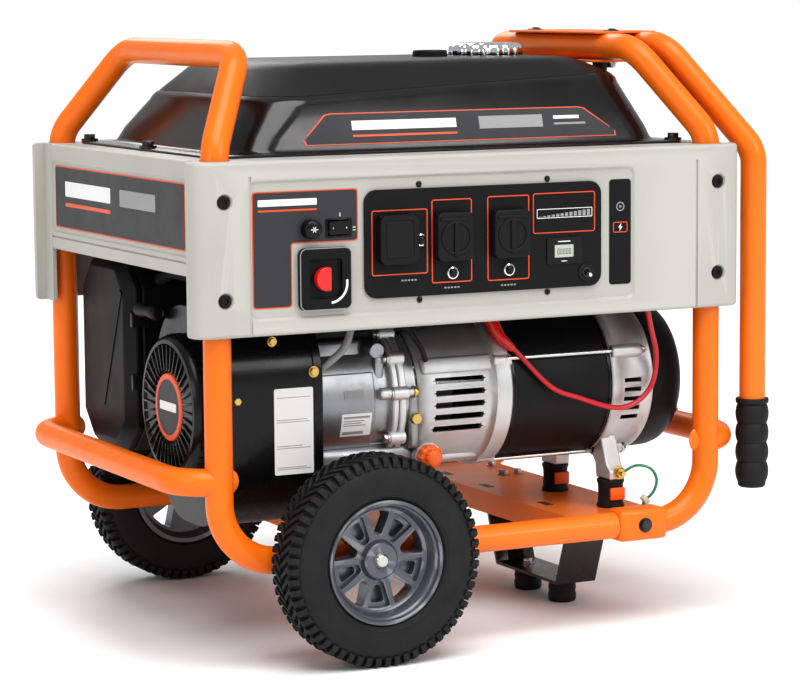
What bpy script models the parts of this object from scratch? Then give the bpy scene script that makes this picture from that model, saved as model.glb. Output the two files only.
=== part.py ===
"""Portable generator on a tubular frame.

The model stands on z = 0 with the control panel facing -Y and the carrying handle at +X.
Lengths are in metres.  Every piece hangs on one empty, which centres the footprint on the origin.
"""

import math

import bmesh
import bpy
from mathutils import Matrix, Vector

# ---------------------------------------------------------------- driving dimensions
GAP = 0.0003                  # left between pieces that touch
RUNNING = 0.0004              # radial room around a turning or sliding shaft

# Tube frame
TUBE_RADIUS = 0.0159
POST_X = 0.3205               # post axes, from the middle of the frame
POST_Y = 0.239
POST_TOP_Z = 0.585            # where the posts lean in
HOOP_LEAN_X = 0.060           # how far the top bars lie inside the posts
HOOP_X = POST_X - HOOP_LEAN_X
HOOP_LEAN_Y = 0.071
HOOP_Y = POST_Y - HOOP_LEAN_Y
HOOP_Z = 0.688
HOOP_BEND = 0.048
RAIL_BEND = 0.070
SADDLE_INSET = 0.1295         # from the right posts to the sleeve that joins the frame's halves
SADDLE_X = POST_X - SADDLE_INSET
SADDLE_LENGTH = 0.066
SADDLE_HEIGHT = 2 * TUBE_RADIUS + 0.0062
SADDLE_DEPTH = 2 * TUBE_RADIUS + 0.0032
BUMPER_Z = 0.215
BUMPER_BULGE = 0.042
BUMPER_BEND = 0.050

# Cross channels between the bottom rails
CHANNEL_TOP_Z = 0.131
CHANNEL_HEIGHT = 0.027
CHANNEL_WALL = 0.003
ENGINE_CHANNEL_X = -0.074
ENGINE_CHANNEL_WIDTH = 0.100
ALTERNATOR_CHANNEL_X = 0.203
ALTERNATOR_CHANNEL_WIDTH = 0.122
ISOLATOR_RADIUS = 0.017
ISOLATOR_HEIGHT = 0.034

# Leg under the alternator channel
LEG_X = 0.207
LEG_Y = -0.045
LEG_WIDTH = 0.055
LEG_WALL = 0.004
LEG_FOOT_HALF = 0.076         # half length of the strap at its foot and at its top
LEG_TOP_HALF = 0.112
LEG_FLANGE = 0.034
FOOT_RADIUS = 0.0175
FOOT_HEIGHT = 0.028
FOOT_SPREAD = 0.0435

# Wheels
TYRE_RADIUS = 0.1205
TYRE_WIDTH = 0.058
AXLE_X = -0.150
RIM_RADIUS = 0.072
RIM_DISH = 0.026              # how deep the spokes lie behind the rim's lip
HUB_RADIUS = 0.018
PIN_RADIUS = 0.0063
WHEEL_ROOM = 0.0045           # between rail and hub
SPOKES = 5

# Folding handle
ARM_OUT = 0.0675              # from the right posts out to the handle's arms
ARM_X = POST_X + ARM_OUT
ARM_TOP_Z = 0.563
ARM_END_Z = 0.157
CROSSBAR_SPAN = 0.051         # from the frame's top bar to the handle's crossbar
CROSSBAR_X = HOOP_X + CROSSBAR_SPAN
CROSSBAR_Z = HOOP_Z + 0.002
CROSSBAR_INSET = 0.083
CROSSBAR_Y = POST_Y - CROSSBAR_INSET
HANDLE_BEND = 0.045
GRIP_TOP_Z = 0.261
GRIP_END_Z = 0.151
GRIP_WALL = 0.0046
GRIP_RADIUS = TUBE_RADIUS + GRIP_WALL
GRIP_GROOVE = 0.0028
GRIP_FINGERS = 4
CLAMP_INSET = 0.056
CLAMP_HALF_Y = HOOP_Y - CLAMP_INSET
CLAMP_WALL = 0.003
CLAMP_OVERHANG = 0.003
PIVOT_ROOM = 0.0006

# Cover band
COVER_OUT_X = 0.036           # from the posts out to the covers' outer faces
COVER_X = POST_X + COVER_OUT_X
COVER_OUT_Y = 0.027
COVER_Y = POST_Y + COVER_OUT_Y
COVER_CORNER = 0.022
COVER_WALL = 0.005
COVER_BOTTOM_Z = 0.3785
COVER_TOP_Z = 0.5735
COVER_PILLAR_Y = POST_Y + 0.001  # the pillars stand proud of the side covers up to here
COVER_END_Y = POST_Y - 0.023  # where front and side covers meet
COVER_LIP_X = POST_X - 0.0305  # inner edges of the top lip
COVER_LIP_Y = POST_Y - 0.027
POST_ROOM = 0.0015
SIDE_COVER_X = POST_X + 0.0235
SIDE_COVER_BOTTOM_Z = 0.4434
SIDE_LIP_X = POST_X - 0.0165
FIELD_LOW_Z = 0.397           # sunk field of the control panel
FIELD_HIGH_Z = 0.550
FIELD_LEFT_X = -0.290
FIELD_RIGHT_X = 0.2013
FIELD_DEPTH = 0.003
SIDE_FIELD_LOW_Z = 0.472
SIDE_FIELD_HIGH_Z = 0.5476
SIDE_FIELD_DEPTH = 0.002

# Control panel
PANEL_LEFT_X = -0.150
PANEL_RIGHT_X = 0.1576
PANEL_LOW_Z = 0.4135
PANEL_HIGH_Z = 0.536
PANEL_WALL = 0.0035
PANEL_CORNER = 0.015
PANEL_WINDOW_MARGIN = 0.008
SOCKET_Z = 0.480
SOCKET_RADIUS = 0.0195
SOCKET_DEPTH = 0.017
SOCKET_WALL = 0.003
SOCKET_XS = (-0.112, -0.040, 0.0335)
LID_WIDTH = 0.048
LID_HEIGHT = 0.056
LID_THICKNESS = 0.014
BREAKER_RADIUS = 0.0045
BREAKER_OUT = 0.0060
BREAKER_IN = 0.0080
BREAKER_FLANGE = 0.0065
BREAKER_MARGIN = 0.0025
BREAKERS = ((SOCKET_XS[0] + SOCKET_RADIUS + SOCKET_WALL + BREAKER_MARGIN + BREAKER_FLANGE, 0.4776),
            (SOCKET_XS[1], 0.438), (SOCKET_XS[2], 0.438))
METER = (0.084, 0.1305, 0.441, 0.472)  # hour meter: x from, x to, z from, z to
DISPLAY = (0.067, 0.148, 0.479, 0.523)  # load display, likewise
METER_OUT = 0.0015
TOGGLE_X = 0.137
TOGGLE_Z = 0.4300
TOGGLE_HOLE = 0.0042
TOGGLE_RADIUS = 0.0019
TOGGLE_TIP = 0.0028
TOGGLE_OUT = 0.0135
TOGGLE_IN = 0.006
TOGGLE_LEAN = math.radians(12)
BEZEL_X = -0.2004
BEZEL_Z = 0.4395
BEZEL_WIDTH = 0.064
BEZEL_HEIGHT = 0.070
BEZEL_DEPTH = 0.007
BEZEL_POCKET_WIDTH = 0.040
BEZEL_POCKET_HEIGHT = 0.044
BEZEL_FLOOR = 0.002
FUEL_KNOB_RADIUS = 0.0135
FUEL_KNOB_HEIGHT = 0.010
CHOKE_X = -0.217
SWITCH_Z = 0.4955
CHOKE_RADIUS = 0.0115
CHOKE_OUT = 0.013
CHOKE_STEM_RADIUS = 0.0035
CHOKE_STEM = 0.030
ROCKER_X = -0.1814
ROCKER_WIDTH = 0.026
ROCKER_HEIGHT = 0.015
ROCKER_OUT = 0.0055
ROCKER_IN = 0.005
ROCKER_ROOM = 0.0015

# Fuel tank
TANK_SEAT_X = 0.020           # how far the tank's flange lies on the covers' lips
TANK_SEAT_Y = 0.0025
TANK_FLANGE_X = COVER_LIP_X + TANK_SEAT_X
TANK_FLANGE_Y = COVER_LIP_Y + TANK_SEAT_Y
TANK_FLANGE = 0.003
TANK_BODY_X = TANK_FLANGE_X - 0.028
TANK_BODY_SHIFT = 0.005       # how far each level of the tank lies to the right of the middle
TANK_BODY_Y = TANK_FLANGE_Y - 0.0145
TANK_CREASE_X = TANK_BODY_X - 0.0335
TANK_CREASE_SHIFT = 0.0105
TANK_CREASE_Y = TANK_BODY_Y - 0.015
TANK_CREASE_Z = 0.634
TANK_TOP_X = TANK_CREASE_X - 0.0405
TANK_TOP_SHIFT = 0.010
TANK_TOP_Y = TANK_CREASE_Y - 0.059
TANK_TOP_Z = 0.677
TANK_PAN_X = COVER_LIP_X - 0.035
TANK_PAN_Y = COVER_LIP_Y - 0.027
TANK_PAN_Z = 0.505
TANK_PAN_SLOPE = 0.012
TANK_ROUND = 0.008            # rounding of the top edge
TANK_WALL = 0.003
TANK_CORNER = 0.042
FILLER_X = 0.150
FILLER_RADIUS = 0.030
CAP_RADIUS = 0.047
CAP_HEIGHT = 0.016
CAP_PLUG = 0.010

# Engine and alternator on one shaft
SHAFT_Y = -0.108
SHAFT_Z = 0.284
SHAFT_RADIUS = 0.0125
SHAFT_START_X = -0.292
SHAFT_END_X = 0.268
RECOIL_FACE_X = -0.328
RECOIL_RADIUS = 0.084
HOUSING_START_X = -0.300
CASE_START_X = -0.178
CASE_END_X = -0.045
BELL_END_X = 0.075
STATOR_END_X = 0.213
BRACKET_END_X = 0.271
END_COVER_X = 0.320
HOUSING_FRONT_Y = -0.212
HOUSING_BACK_Y = -0.008
HOUSING_LOW_Z = 0.146
HOUSING_HIGH_Z = 0.400
HOUSING_CORNER = 0.085
HOUSING_WALL = 0.003
FLYWHEEL_RADIUS = 0.088
FLYWHEEL_WIDTH = 0.020
FLYWHEEL_HUB = 0.030
CASE_FRONT_Y = -0.197
CASE_BACK_Y = -0.0063
CYLINDER_LEAN = math.radians(35)
CYLINDER_FOOT = 0.095         # from the shaft to the cylinder's foot
CYLINDER_LENGTH = 0.125
CYLINDER_HALF = 0.060
CYLINDER_CORE = 0.046
CYLINDER_START_X = -0.170
CYLINDER_END_X = -0.062
FINS = 6
BELL_RADIUS = 0.088
BELL_RING_RADIUS = 0.096
BELL_WALL = 0.006
STATOR_RADIUS = 0.092
STATOR_BORE = 0.062
ROTOR_ROOM = 0.0020
ROTOR_MARGIN = 0.010
BRACKET_RADIUS = 0.094
MOUNT_SPREAD_ENGINE = 0.070
MOUNT_SPREAD_ALTERNATOR = 0.0675
MOUNT_X_ALTERNATOR = 0.225
BRACKET_FOOT_WALL = 0.022
OIL_CAP_X = -0.036
OIL_CAP_Z = 0.216
OIL_CAP_RADIUS = 0.015
OIL_CAP_LENGTH = 0.017
OIL_LUG_DEPTH = 0.010
AIR_BOX_START_X = -0.315
AIR_BOX_END_X = -0.225
AIR_BOX_FRONT_Y = 0.045
AIR_BOX_BACK_Y = 0.205
AIR_BOX_LOW_Z = 0.205
AIR_BOX_HIGH_Z = 0.440
AIR_BOX_CHAMFER = 0.032
CARBURETTOR_Y = 0.058
CARBURETTOR_Z = 0.392
CARBURETTOR_SIZE = 0.050
MUFFLER_LOW = (CYLINDER_END_X + GAP, -0.015, 0.388)
MUFFLER_HIGH = (0.125, 0.105, 0.488)
MUFFLER_BEVEL = 0.018
TAILPIPE_X = 0.095
TAILPIPE_RADIUS = 0.013
TAILPIPE_END_Y = 0.175
BATTERY_WIDTH = 0.150
BATTERY_DEPTH = 0.086
BATTERY_HEIGHT = 0.130
BATTERY_BACK_Y = 0.212
PULL_Y = -0.010
PULL_Z = 0.385
PULL_RADIUS = 0.009
PULL_LENGTH = 0.062

# Cables
CABLE_RADIUS = 0.0032
CABLE_HANG = 0.012            # how far in front of the stator it hangs
BOOT_RADIUS = 0.0065
WIRE_RADIUS = 0.0018

# Facets
TUBE_FACETS = 3               # bevel resolution of a frame tube: ten sides
ARC_STEPS = 6
ROUND_SIDES = 24
FINE_SIDES = 32
WHEEL_SIDES = 36
GRIP_SIDES = 16

# ---------------------------------------------------------------- sizes that follow
AXLE_Z = TYRE_RADIUS
RAIL_Z = AXLE_Z
LEFT_REACH = POST_X + BUMPER_BULGE + TUBE_RADIUS
RIGHT_REACH = ARM_X + GRIP_RADIUS
CENTRE_SHIFT = (LEFT_REACH - RIGHT_REACH) / 2
MOUNT_Z = CHANNEL_TOP_Z + GAP + ISOLATOR_HEIGHT + GAP
FACE_Y = -COVER_Y + FIELD_DEPTH  # floor of the sunk field
PANEL_FACE_Y = FACE_Y - GAP - PANEL_WALL
TANK_FLANGE_Z = COVER_TOP_Z + GAP
WHEEL_INNER_Y = POST_Y + TUBE_RADIUS + WHEEL_ROOM
WHEEL_OUTER_Y = WHEEL_INNER_Y + TYRE_WIDTH


# ---------------------------------------------------------------- scene helpers
def clear_scene():
    for obj in list(bpy.data.objects):
        bpy.data.objects.remove(obj, do_unlink=True)


def paint(name, colour, roughness, metallic=0.0):
    """A Principled material in one colour."""
    material = bpy.data.materials.new(name)
    material.use_nodes = True
    shader = material.node_tree.nodes["Principled BSDF"]
    shader.inputs["Base Color"].default_value = (*colour, 1.0)
    shader.inputs["Roughness"].default_value = roughness
    shader.inputs["Metallic"].default_value = metallic
    material.diffuse_color = (*colour, 1.0)
    return material


def place(name, shape, pivot=(0.0, 0.0, 0.0)):
    """Turns a bmesh into an object whose origin is at the pivot."""
    bmesh.ops.recalc_face_normals(shape, faces=shape.faces)
    bmesh.ops.translate(shape, verts=shape.verts, vec=-Vector(pivot))
    mesh = bpy.data.meshes.new(name)
    shape.to_mesh(mesh)
    shape.free()
    mesh.shade_smooth()
    mesh.set_sharp_from_angle(angle=math.radians(35))
    obj = bpy.data.objects.new(name, mesh)
    obj.location = pivot
    obj.parent = BASE
    bpy.context.scene.collection.objects.link(obj)
    return obj


def piece(name, shape, finish, pivot=(0.0, 0.0, 0.0)):
    """A visible piece with its own copy of the finish."""
    obj = place(name, shape, pivot)
    own = finish.copy()
    own.name = name
    obj.data.materials.append(own)
    return obj


def tool(shape):
    """A helper for Booleans, which is no piece of the machine."""
    obj = place("tool", shape)
    obj.hide_render = True
    obj.display_type = "WIRE"
    return obj


def combine(obj, shape, operation):
    modifier = obj.modifiers.new(operation.title(), "BOOLEAN")
    modifier.operation = operation
    modifier.object = tool(shape)


def cut(obj, *shapes):
    for shape in shapes:
        combine(obj, shape, "DIFFERENCE")


def add(obj, *shapes):
    for shape in shapes:
        combine(obj, shape, "UNION")


# ---------------------------------------------------------------- shapes
def box(low, high, bevel=0.0, segments=1):
    shape = bmesh.new()
    size = Vector(high) - Vector(low)
    middle = (Vector(high) + Vector(low)) / 2
    matrix = Matrix.Translation(middle) @ Matrix.Diagonal((*size, 1.0))
    bmesh.ops.create_cube(shape, size=1.0, matrix=matrix)
    if bevel:
        bmesh.ops.bevel(shape, geom=shape.edges[:], offset=bevel, segments=segments,
                        affect="EDGES", profile=0.5)
    return shape


def spread(point, axis, along):
    """A point of a flat outline, set on the plane across the axis."""
    first, second = point
    if axis == "X":
        return (along, first, second)
    if axis == "Y":
        return (first, along, second)
    return (first, second, along)


def prism(outline, axis, start, end):
    """An outline across an axis, drawn out along it.  Across X it is (y, z), Y (x, z), Z (x, y)."""
    shape = bmesh.new()
    corners = [shape.verts.new(spread(point, axis, start)) for point in outline]
    face = shape.faces.new(corners)
    drawn = bmesh.ops.extrude_face_region(shape, geom=[face])["geom"]
    moved = [item for item in drawn if isinstance(item, bmesh.types.BMVert)]
    bmesh.ops.translate(shape, verts=moved, vec=spread((0.0, 0.0), axis, end - start))
    return shape


def rounded(low, high, corner, steps=4):
    """Outline of a rectangle with round corners."""
    (x0, y0), (x1, y1) = low, high
    centres = ((x1 - corner, y1 - corner, 0), (x0 + corner, y1 - corner, 90),
               (x0 + corner, y0 + corner, 180), (x1 - corner, y0 + corner, 270))
    points = []
    for cx, cy, start in centres:
        for step in range(steps + 1):
            angle = math.radians(start + 90 * step / steps)
            points.append((cx + corner * math.cos(angle), cy + corner * math.sin(angle)))
    return points


def turned(profile, axis, centre, sides=ROUND_SIDES, ring=False):
    """A profile of (radius, along) points turned about an axis; a ring's profile closes on itself."""
    shape = bmesh.new()
    rows = []
    for radius, along in profile:
        count = sides if radius > 0 else 1
        row = []
        for side in range(count):
            angle = 2 * math.pi * side / sides
            flat = (centre[0] + radius * math.cos(angle), centre[1] + radius * math.sin(angle))
            row.append(shape.verts.new(spread(flat, axis, along)))
        rows.append(row)
    pairs = list(zip(rows, rows[1:]))
    if ring:
        pairs.append((rows[-1], rows[0]))
    for first, second in pairs:
        for side in range(sides):
            after = (side + 1) % sides
            loop = [first[side % len(first)], first[after % len(first)],
                    second[after % len(second)], second[side % len(second)]]
            corners = list(dict.fromkeys(loop))
            if len(corners) > 2:
                shape.faces.new(corners)
    return shape


def rod(axis, centre, radius, start, end, sides=ROUND_SIDES):
    return turned([(0, start), (radius, start), (radius, end), (0, end)], axis, centre, sides)


def bore(shaft, sides):
    """Radius of a faceted hole whose flats clear a shaft that moves in it."""
    return (shaft + RUNNING) / math.cos(math.pi / sides)


def loft(sections):
    """A closed skin over outlines of equal length."""
    shape = bmesh.new()
    rings = [[shape.verts.new(point) for point in section] for section in sections]
    for first, second in zip(rings, rings[1:]):
        for side in range(len(first)):
            after = (side + 1) % len(first)
            shape.faces.new((first[side], first[after], second[after], second[side]))
    shape.faces.new(rings[0])
    shape.faces.new(rings[-1])
    return shape


def bent_path(corners, bend):
    """The corners joined by straight runs, each inner corner turned with the bend radius."""
    corners = [Vector(corner) for corner in corners]
    points = [corners[0]]
    for before, corner, after in zip(corners, corners[1:], corners[2:]):
        incoming = (corner - before).normalized()
        outgoing = (after - corner).normalized()
        turn = incoming.angle(outgoing)
        reach = bend * math.tan(turn / 2)
        inward = (outgoing - incoming).normalized()
        centre = corner + inward * (bend / math.cos(turn / 2))
        start = corner - incoming * reach - centre
        normal = incoming.cross(outgoing).normalized()
        for step in range(ARC_STEPS + 1):
            swing = Matrix.Rotation(turn * step / ARC_STEPS, 3, normal)
            points.append(centre + swing @ start)
    points.append(corners[-1])
    return points


def tube(path, radius, facets=TUBE_FACETS):
    """A round bar along a path, with closed ends."""
    curve = bpy.data.curves.new("path", "CURVE")
    curve.dimensions = "3D"
    curve.bevel_depth = radius
    curve.bevel_resolution = facets
    curve.use_fill_caps = True
    spline = curve.splines.new("POLY")
    spline.points.add(len(path) - 1)
    for target, point in zip(spline.points, path):
        target.co = (*point, 1.0)
    guide = bpy.data.objects.new("path", curve)
    mesh = bpy.data.meshes.new_from_object(guide)
    shape = bmesh.new()
    shape.from_mesh(mesh)
    bmesh.ops.remove_doubles(shape, verts=shape.verts, dist=0.00001)
    bpy.data.objects.remove(guide)
    bpy.data.curves.remove(curve)
    bpy.data.meshes.remove(mesh)
    return shape


def strap(points, wall):
    """Outline of a flat strip that follows points in a plane, half its wall to each side."""
    line = [Vector(point) for point in points]
    sides = ([], [])
    for index, point in enumerate(line):
        before = line[max(index - 1, 0)]
        after = line[min(index + 1, len(line) - 1)]
        run_in = (point - before if index else after - point).normalized()
        run_out = (after - point if index < len(line) - 1 else point - before).normalized()
        across = Vector((-run_in.y - run_out.y, run_in.x + run_out.x)).normalized()
        stretch = wall / 2 / across.dot(Vector((-run_in.y, run_in.x)))
        sides[0].append(point + across * stretch)
        sides[1].append(point - across * stretch)
    return [tuple(point) for point in sides[0] + sides[1][::-1]]


# ---------------------------------------------------------------- finishes
def make_finishes():
    return {
        "orange": paint("orange", (0.90, 0.17, 0.02), 0.30),
        "grey": paint("grey", (0.66, 0.65, 0.60), 0.45),
        "black_paint": paint("black_paint", (0.012, 0.012, 0.013), 0.28),
        "black_plastic": paint("black_plastic", (0.02, 0.02, 0.021), 0.5),
        "rubber": paint("rubber", (0.012, 0.012, 0.012), 0.75),
        "rim": paint("rim", (0.10, 0.11, 0.13), 0.4, 0.3),
        "aluminium": paint("aluminium", (0.62, 0.62, 0.61), 0.42, 0.9),
        "steel": paint("steel", (0.50, 0.49, 0.47), 0.35, 1.0),
        "iron": paint("iron", (0.16, 0.15, 0.15), 0.6, 0.8),
        "chrome": paint("chrome", (0.80, 0.80, 0.82), 0.12, 1.0),
        "copper": paint("copper", (0.45, 0.22, 0.12), 0.5, 0.6),
        "red": paint("red", (0.75, 0.02, 0.02), 0.3),
        "green": paint("green", (0.10, 0.45, 0.12), 0.4),
    }


# ---------------------------------------------------------------- frame
def hoop_corners(side):
    """Corners of one end hoop, from the front rail over the top bar to the back rail."""
    post, bar = side * POST_X, side * HOOP_X
    return [(post, -POST_Y, RAIL_Z), (post, -POST_Y, POST_TOP_Z), (bar, -HOOP_Y, HOOP_Z),
            (bar, HOOP_Y, HOOP_Z), (post, POST_Y, POST_TOP_Z), (post, POST_Y, RAIL_Z)]


def frame_path(side, end_x):
    """The hoop with its two bottom rails; the rails' corners turn wider than the hoop's."""
    corners = hoop_corners(side)
    front = bent_path([(end_x, -POST_Y, RAIL_Z), corners[0], corners[1]], RAIL_BEND)
    top = bent_path(corners, HOOP_BEND)
    back = bent_path([corners[4], corners[5], (end_x, POST_Y, RAIL_Z)], RAIL_BEND)
    return front[:-1] + top[1:-1] + back[1:]


def make_frame(finish):
    left = piece("left_frame_tube", tube(frame_path(-1, SADDLE_X - GAP), TUBE_RADIUS), finish)
    for side in (-1, 1):
        cut(left, rod("Y", (AXLE_X, AXLE_Z), PIN_RADIUS + GAP,
                      side * POST_Y - 2 * TUBE_RADIUS, side * POST_Y + 2 * TUBE_RADIUS, 12))
    sleeve_end = SADDLE_X + SADDLE_LENGTH
    right = piece("right_frame_tube", tube(frame_path(1, sleeve_end - TUBE_RADIUS), TUBE_RADIUS), finish)
    for side in (-1, 1):
        low = (SADDLE_X, side * POST_Y - SADDLE_DEPTH / 2, RAIL_Z - SADDLE_HEIGHT / 2)
        high = (sleeve_end, side * POST_Y + SADDLE_DEPTH / 2, RAIL_Z + SADDLE_HEIGHT / 2)
        add(right, box(low, high, bevel=0.004))


def post_cope(x, side, y):
    """A post's round outer face, with all that lies inboard of the post."""
    reach = TUBE_RADIUS + GAP
    outline = [(x - side * 4 * reach, y - 3 * reach), (x, y - 3 * reach)]
    for step in range(2 * ARC_STEPS + 1):
        angle = math.pi * (step / (2 * ARC_STEPS) - 0.5)
        outline.append((x + side * reach * math.cos(angle), y + reach * math.sin(angle)))
    outline += [(x, y + 3 * reach), (x - side * 4 * reach, y + 3 * reach)]
    return prism(outline, "Z", BUMPER_Z - 2 * reach, BUMPER_Z + 2 * reach)


def make_bumpers(finish):
    for name, side in (("left_bumper_tube", -1), ("right_bumper_tube", 1)):
        post, bow = side * POST_X, side * (POST_X + BUMPER_BULGE)
        start = post - side * (BUMPER_BEND - BUMPER_BULGE + 0.002)
        corners = [(start, -POST_Y, BUMPER_Z), (bow, -POST_Y, BUMPER_Z),
                   (bow, POST_Y, BUMPER_Z), (start, POST_Y, BUMPER_Z)]
        bumper = piece(name, tube(bent_path(corners, BUMPER_BEND), TUBE_RADIUS), finish)
        for across in (-1, 1):
            cut(bumper, post_cope(post, side, across * POST_Y))


def make_channel(name, middle, width, reach, finish):
    """An upturned U between the rails, its ends shaped to the rails."""
    low, high = CHANNEL_TOP_Z - CHANNEL_HEIGHT, CHANNEL_TOP_Z
    outer, inner = width / 2, width / 2 - CHANNEL_WALL
    outline = [(middle - outer, low), (middle - outer, high), (middle + outer, high),
               (middle + outer, low), (middle + inner, low), (middle + inner, high - CHANNEL_WALL),
               (middle - inner, high - CHANNEL_WALL), (middle - inner, low)]
    channel = piece(name, prism(outline, "Y", -reach, reach), finish)
    for side in (-1, 1):
        cut(channel, rod("X", (side * POST_Y, RAIL_Z), TUBE_RADIUS + GAP,
                         middle - width, middle + width, FINE_SIDES))


def make_leg(finish, rubber):
    top = CHANNEL_TOP_Z - CHANNEL_WALL - GAP - LEG_WALL / 2
    foot = FOOT_HEIGHT + GAP + LEG_WALL / 2
    line = [(LEG_Y - LEG_TOP_HALF - LEG_FLANGE, top), (LEG_Y - LEG_TOP_HALF, top),
            (LEG_Y - LEG_FOOT_HALF, foot), (LEG_Y + LEG_FOOT_HALF, foot),
            (LEG_Y + LEG_TOP_HALF, top), (LEG_Y + LEG_TOP_HALF + LEG_FLANGE, top)]
    half = LEG_WIDTH / 2
    piece("leg_bracket", prism(strap(line, LEG_WALL), "X", LEG_X - half, LEG_X + half), finish)
    for name, side in (("front_rubber_foot", -1), ("back_rubber_foot", 1)):
        centre = (LEG_X, LEG_Y + side * FOOT_SPREAD)
        profile = [(0, 0), (FOOT_RADIUS - 0.002, 0), (FOOT_RADIUS, 0.003),
                   (FOOT_RADIUS - 0.001, FOOT_HEIGHT), (0, FOOT_HEIGHT)]
        piece(name, turned(profile, "Z", centre), rubber)


def make_isolators(rubber):
    """Rubber blocks that carry the engine and the alternator on the channels."""
    low = CHANNEL_TOP_Z + GAP
    places = (("engine", ENGINE_CHANNEL_X, MOUNT_SPREAD_ENGINE),
              ("alternator", MOUNT_X_ALTERNATOR, MOUNT_SPREAD_ALTERNATOR))
    for group, x, spread_y in places:
        for name, side in (("front", -1), ("back", 1)):
            centre = (x, SHAFT_Y + side * spread_y)
            shape = rod("Z", centre, ISOLATOR_RADIUS, low, low + ISOLATOR_HEIGHT, 16)
            piece(f"{group}_{name}_isolator", shape, rubber)


# ---------------------------------------------------------------- wheels
def tyre_profile(inner, outer, side):
    """Cross-section of the tyre, as a closed ring of (radius, y)."""
    shoulder, wall = 0.010, 0.006
    return [(RIM_RADIUS + GAP, side * inner), (RIM_RADIUS + GAP, side * outer),
            (RIM_RADIUS + wall, side * outer), (TYRE_RADIUS - 2 * shoulder, side * outer),
            (TYRE_RADIUS - shoulder / 2, side * (outer - wall)), (TYRE_RADIUS, side * (outer - shoulder)),
            (TYRE_RADIUS, side * (inner + shoulder)), (TYRE_RADIUS - shoulder / 2, side * (inner + wall)),
            (TYRE_RADIUS - 2 * shoulder, side * inner)]


def rim_profile(inner, outer, side):
    """A dished disc with a deep outer lip, as a closed ring of (radius, y)."""
    barrel = RIM_RADIUS - 0.006
    dish = outer - RIM_DISH
    web = 0.010
    hole = bore(PIN_RADIUS, WHEEL_SIDES)
    return [(hole, side * inner), (HUB_RADIUS, side * inner), (HUB_RADIUS, side * (dish - web)),
            (barrel - 0.004, side * (dish - web)), (barrel, side * (inner + 0.002)),
            (RIM_RADIUS, side * (inner + 0.002)), (RIM_RADIUS, side * outer),
            (RIM_RADIUS - 0.004, side * outer), (barrel - 0.003, side * dish),
            (HUB_RADIUS, side * dish), (HUB_RADIUS - 0.003, side * (dish + 0.006)),
            (hole, side * (dish + 0.006))]


def rim_window(number, y0, y1):
    """One opening between two spokes."""
    middle = 2 * math.pi * (number + 0.25) / SPOKES
    narrow, wide = 0.10, 0.30
    near, far = HUB_RADIUS + 0.020, RIM_RADIUS - 0.013
    outline = []
    for radius, swing in ((near, -narrow), (near, narrow), (far, wide), (far, -wide)):
        angle = middle + swing
        outline.append((AXLE_X + radius * math.cos(angle), AXLE_Z + radius * math.sin(angle)))
    return prism(outline, "Y", y0, y1)


def make_wheel(group, side, finishes):
    inner, outer = WHEEL_INNER_Y, WHEEL_OUTER_Y
    centre = (AXLE_X, AXLE_Z)
    pivot = (AXLE_X, side * (inner + outer) / 2, AXLE_Z)
    tyre = turned(tyre_profile(inner, outer, side), "Y", centre, WHEEL_SIDES, ring=True)
    piece(f"{group}_tyre", tyre, finishes["rubber"], pivot)
    rim = piece(f"{group}_rim", turned(rim_profile(inner, outer, side), "Y", centre, WHEEL_SIDES, ring=True),
                finishes["rim"], pivot)
    y0, y1 = sorted((side * (inner - 0.01), side * (outer + 0.01)))
    for number in range(SPOKES):
        cut(rim, rim_window(number, y0, y1))


def make_axle_pin(group, side, finish):
    """A headed bolt through the wheel's hub and the rail."""
    hub_face = WHEEL_OUTER_Y - RIM_DISH + 0.006 + GAP
    tip = POST_Y - TUBE_RADIUS - 0.016
    profile = [(0, side * (hub_face + 0.007)), (0.007, side * (hub_face + 0.007)),
               (0.0095, side * (hub_face + 0.004)), (0.0095, side * hub_face),
               (PIN_RADIUS, side * hub_face), (PIN_RADIUS, side * tip), (0, side * tip)]
    piece(f"{group}_axle_pin", turned(profile, "Y", (AXLE_X, AXLE_Z), 16), finish)


# ---------------------------------------------------------------- folding handle
def make_handle(finishes):
    pivot = (CROSSBAR_X, 0.0, CROSSBAR_Z)
    corners = [(ARM_X, -POST_Y, ARM_END_Z), (ARM_X, -POST_Y, ARM_TOP_Z),
               (CROSSBAR_X, -CROSSBAR_Y, CROSSBAR_Z), (CROSSBAR_X, CROSSBAR_Y, CROSSBAR_Z),
               (ARM_X, POST_Y, ARM_TOP_Z), (ARM_X, POST_Y, ARM_END_Z)]
    piece("handle_tube", tube(bent_path(corners, HANDLE_BEND), TUBE_RADIUS), finishes["orange"], pivot)
    for name, side in (("front_grip", -1), ("back_grip", 1)):
        shape = turned(grip_profile(), "Z", (ARM_X, side * POST_Y), GRIP_SIDES)
        piece(name, shape, finishes["rubber"], pivot)


def grip_profile():
    """A closed sleeve with finger grooves, as (radius, z) from its end up and down its bore."""
    wall_end = ARM_END_Z - GAP
    span = GRIP_TOP_Z - GRIP_END_Z
    profile = [(0, GRIP_END_Z), (GRIP_RADIUS - 0.004, GRIP_END_Z)]
    steps = GRIP_FINGERS * 3
    for step in range(steps + 1):
        share = 0.04 + 0.92 * step / steps
        wave = (1 - math.cos(2 * math.pi * GRIP_FINGERS * step / steps)) / 2
        profile.append((GRIP_RADIUS - GRIP_GROOVE * wave, GRIP_END_Z + span * share))
    inner = (TUBE_RADIUS + GAP) / math.cos(math.pi / GRIP_SIDES)
    profile += [(GRIP_RADIUS - 0.003, GRIP_TOP_Z), (inner, GRIP_TOP_Z), (inner, wall_end), (0, wall_end)]
    return profile


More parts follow.
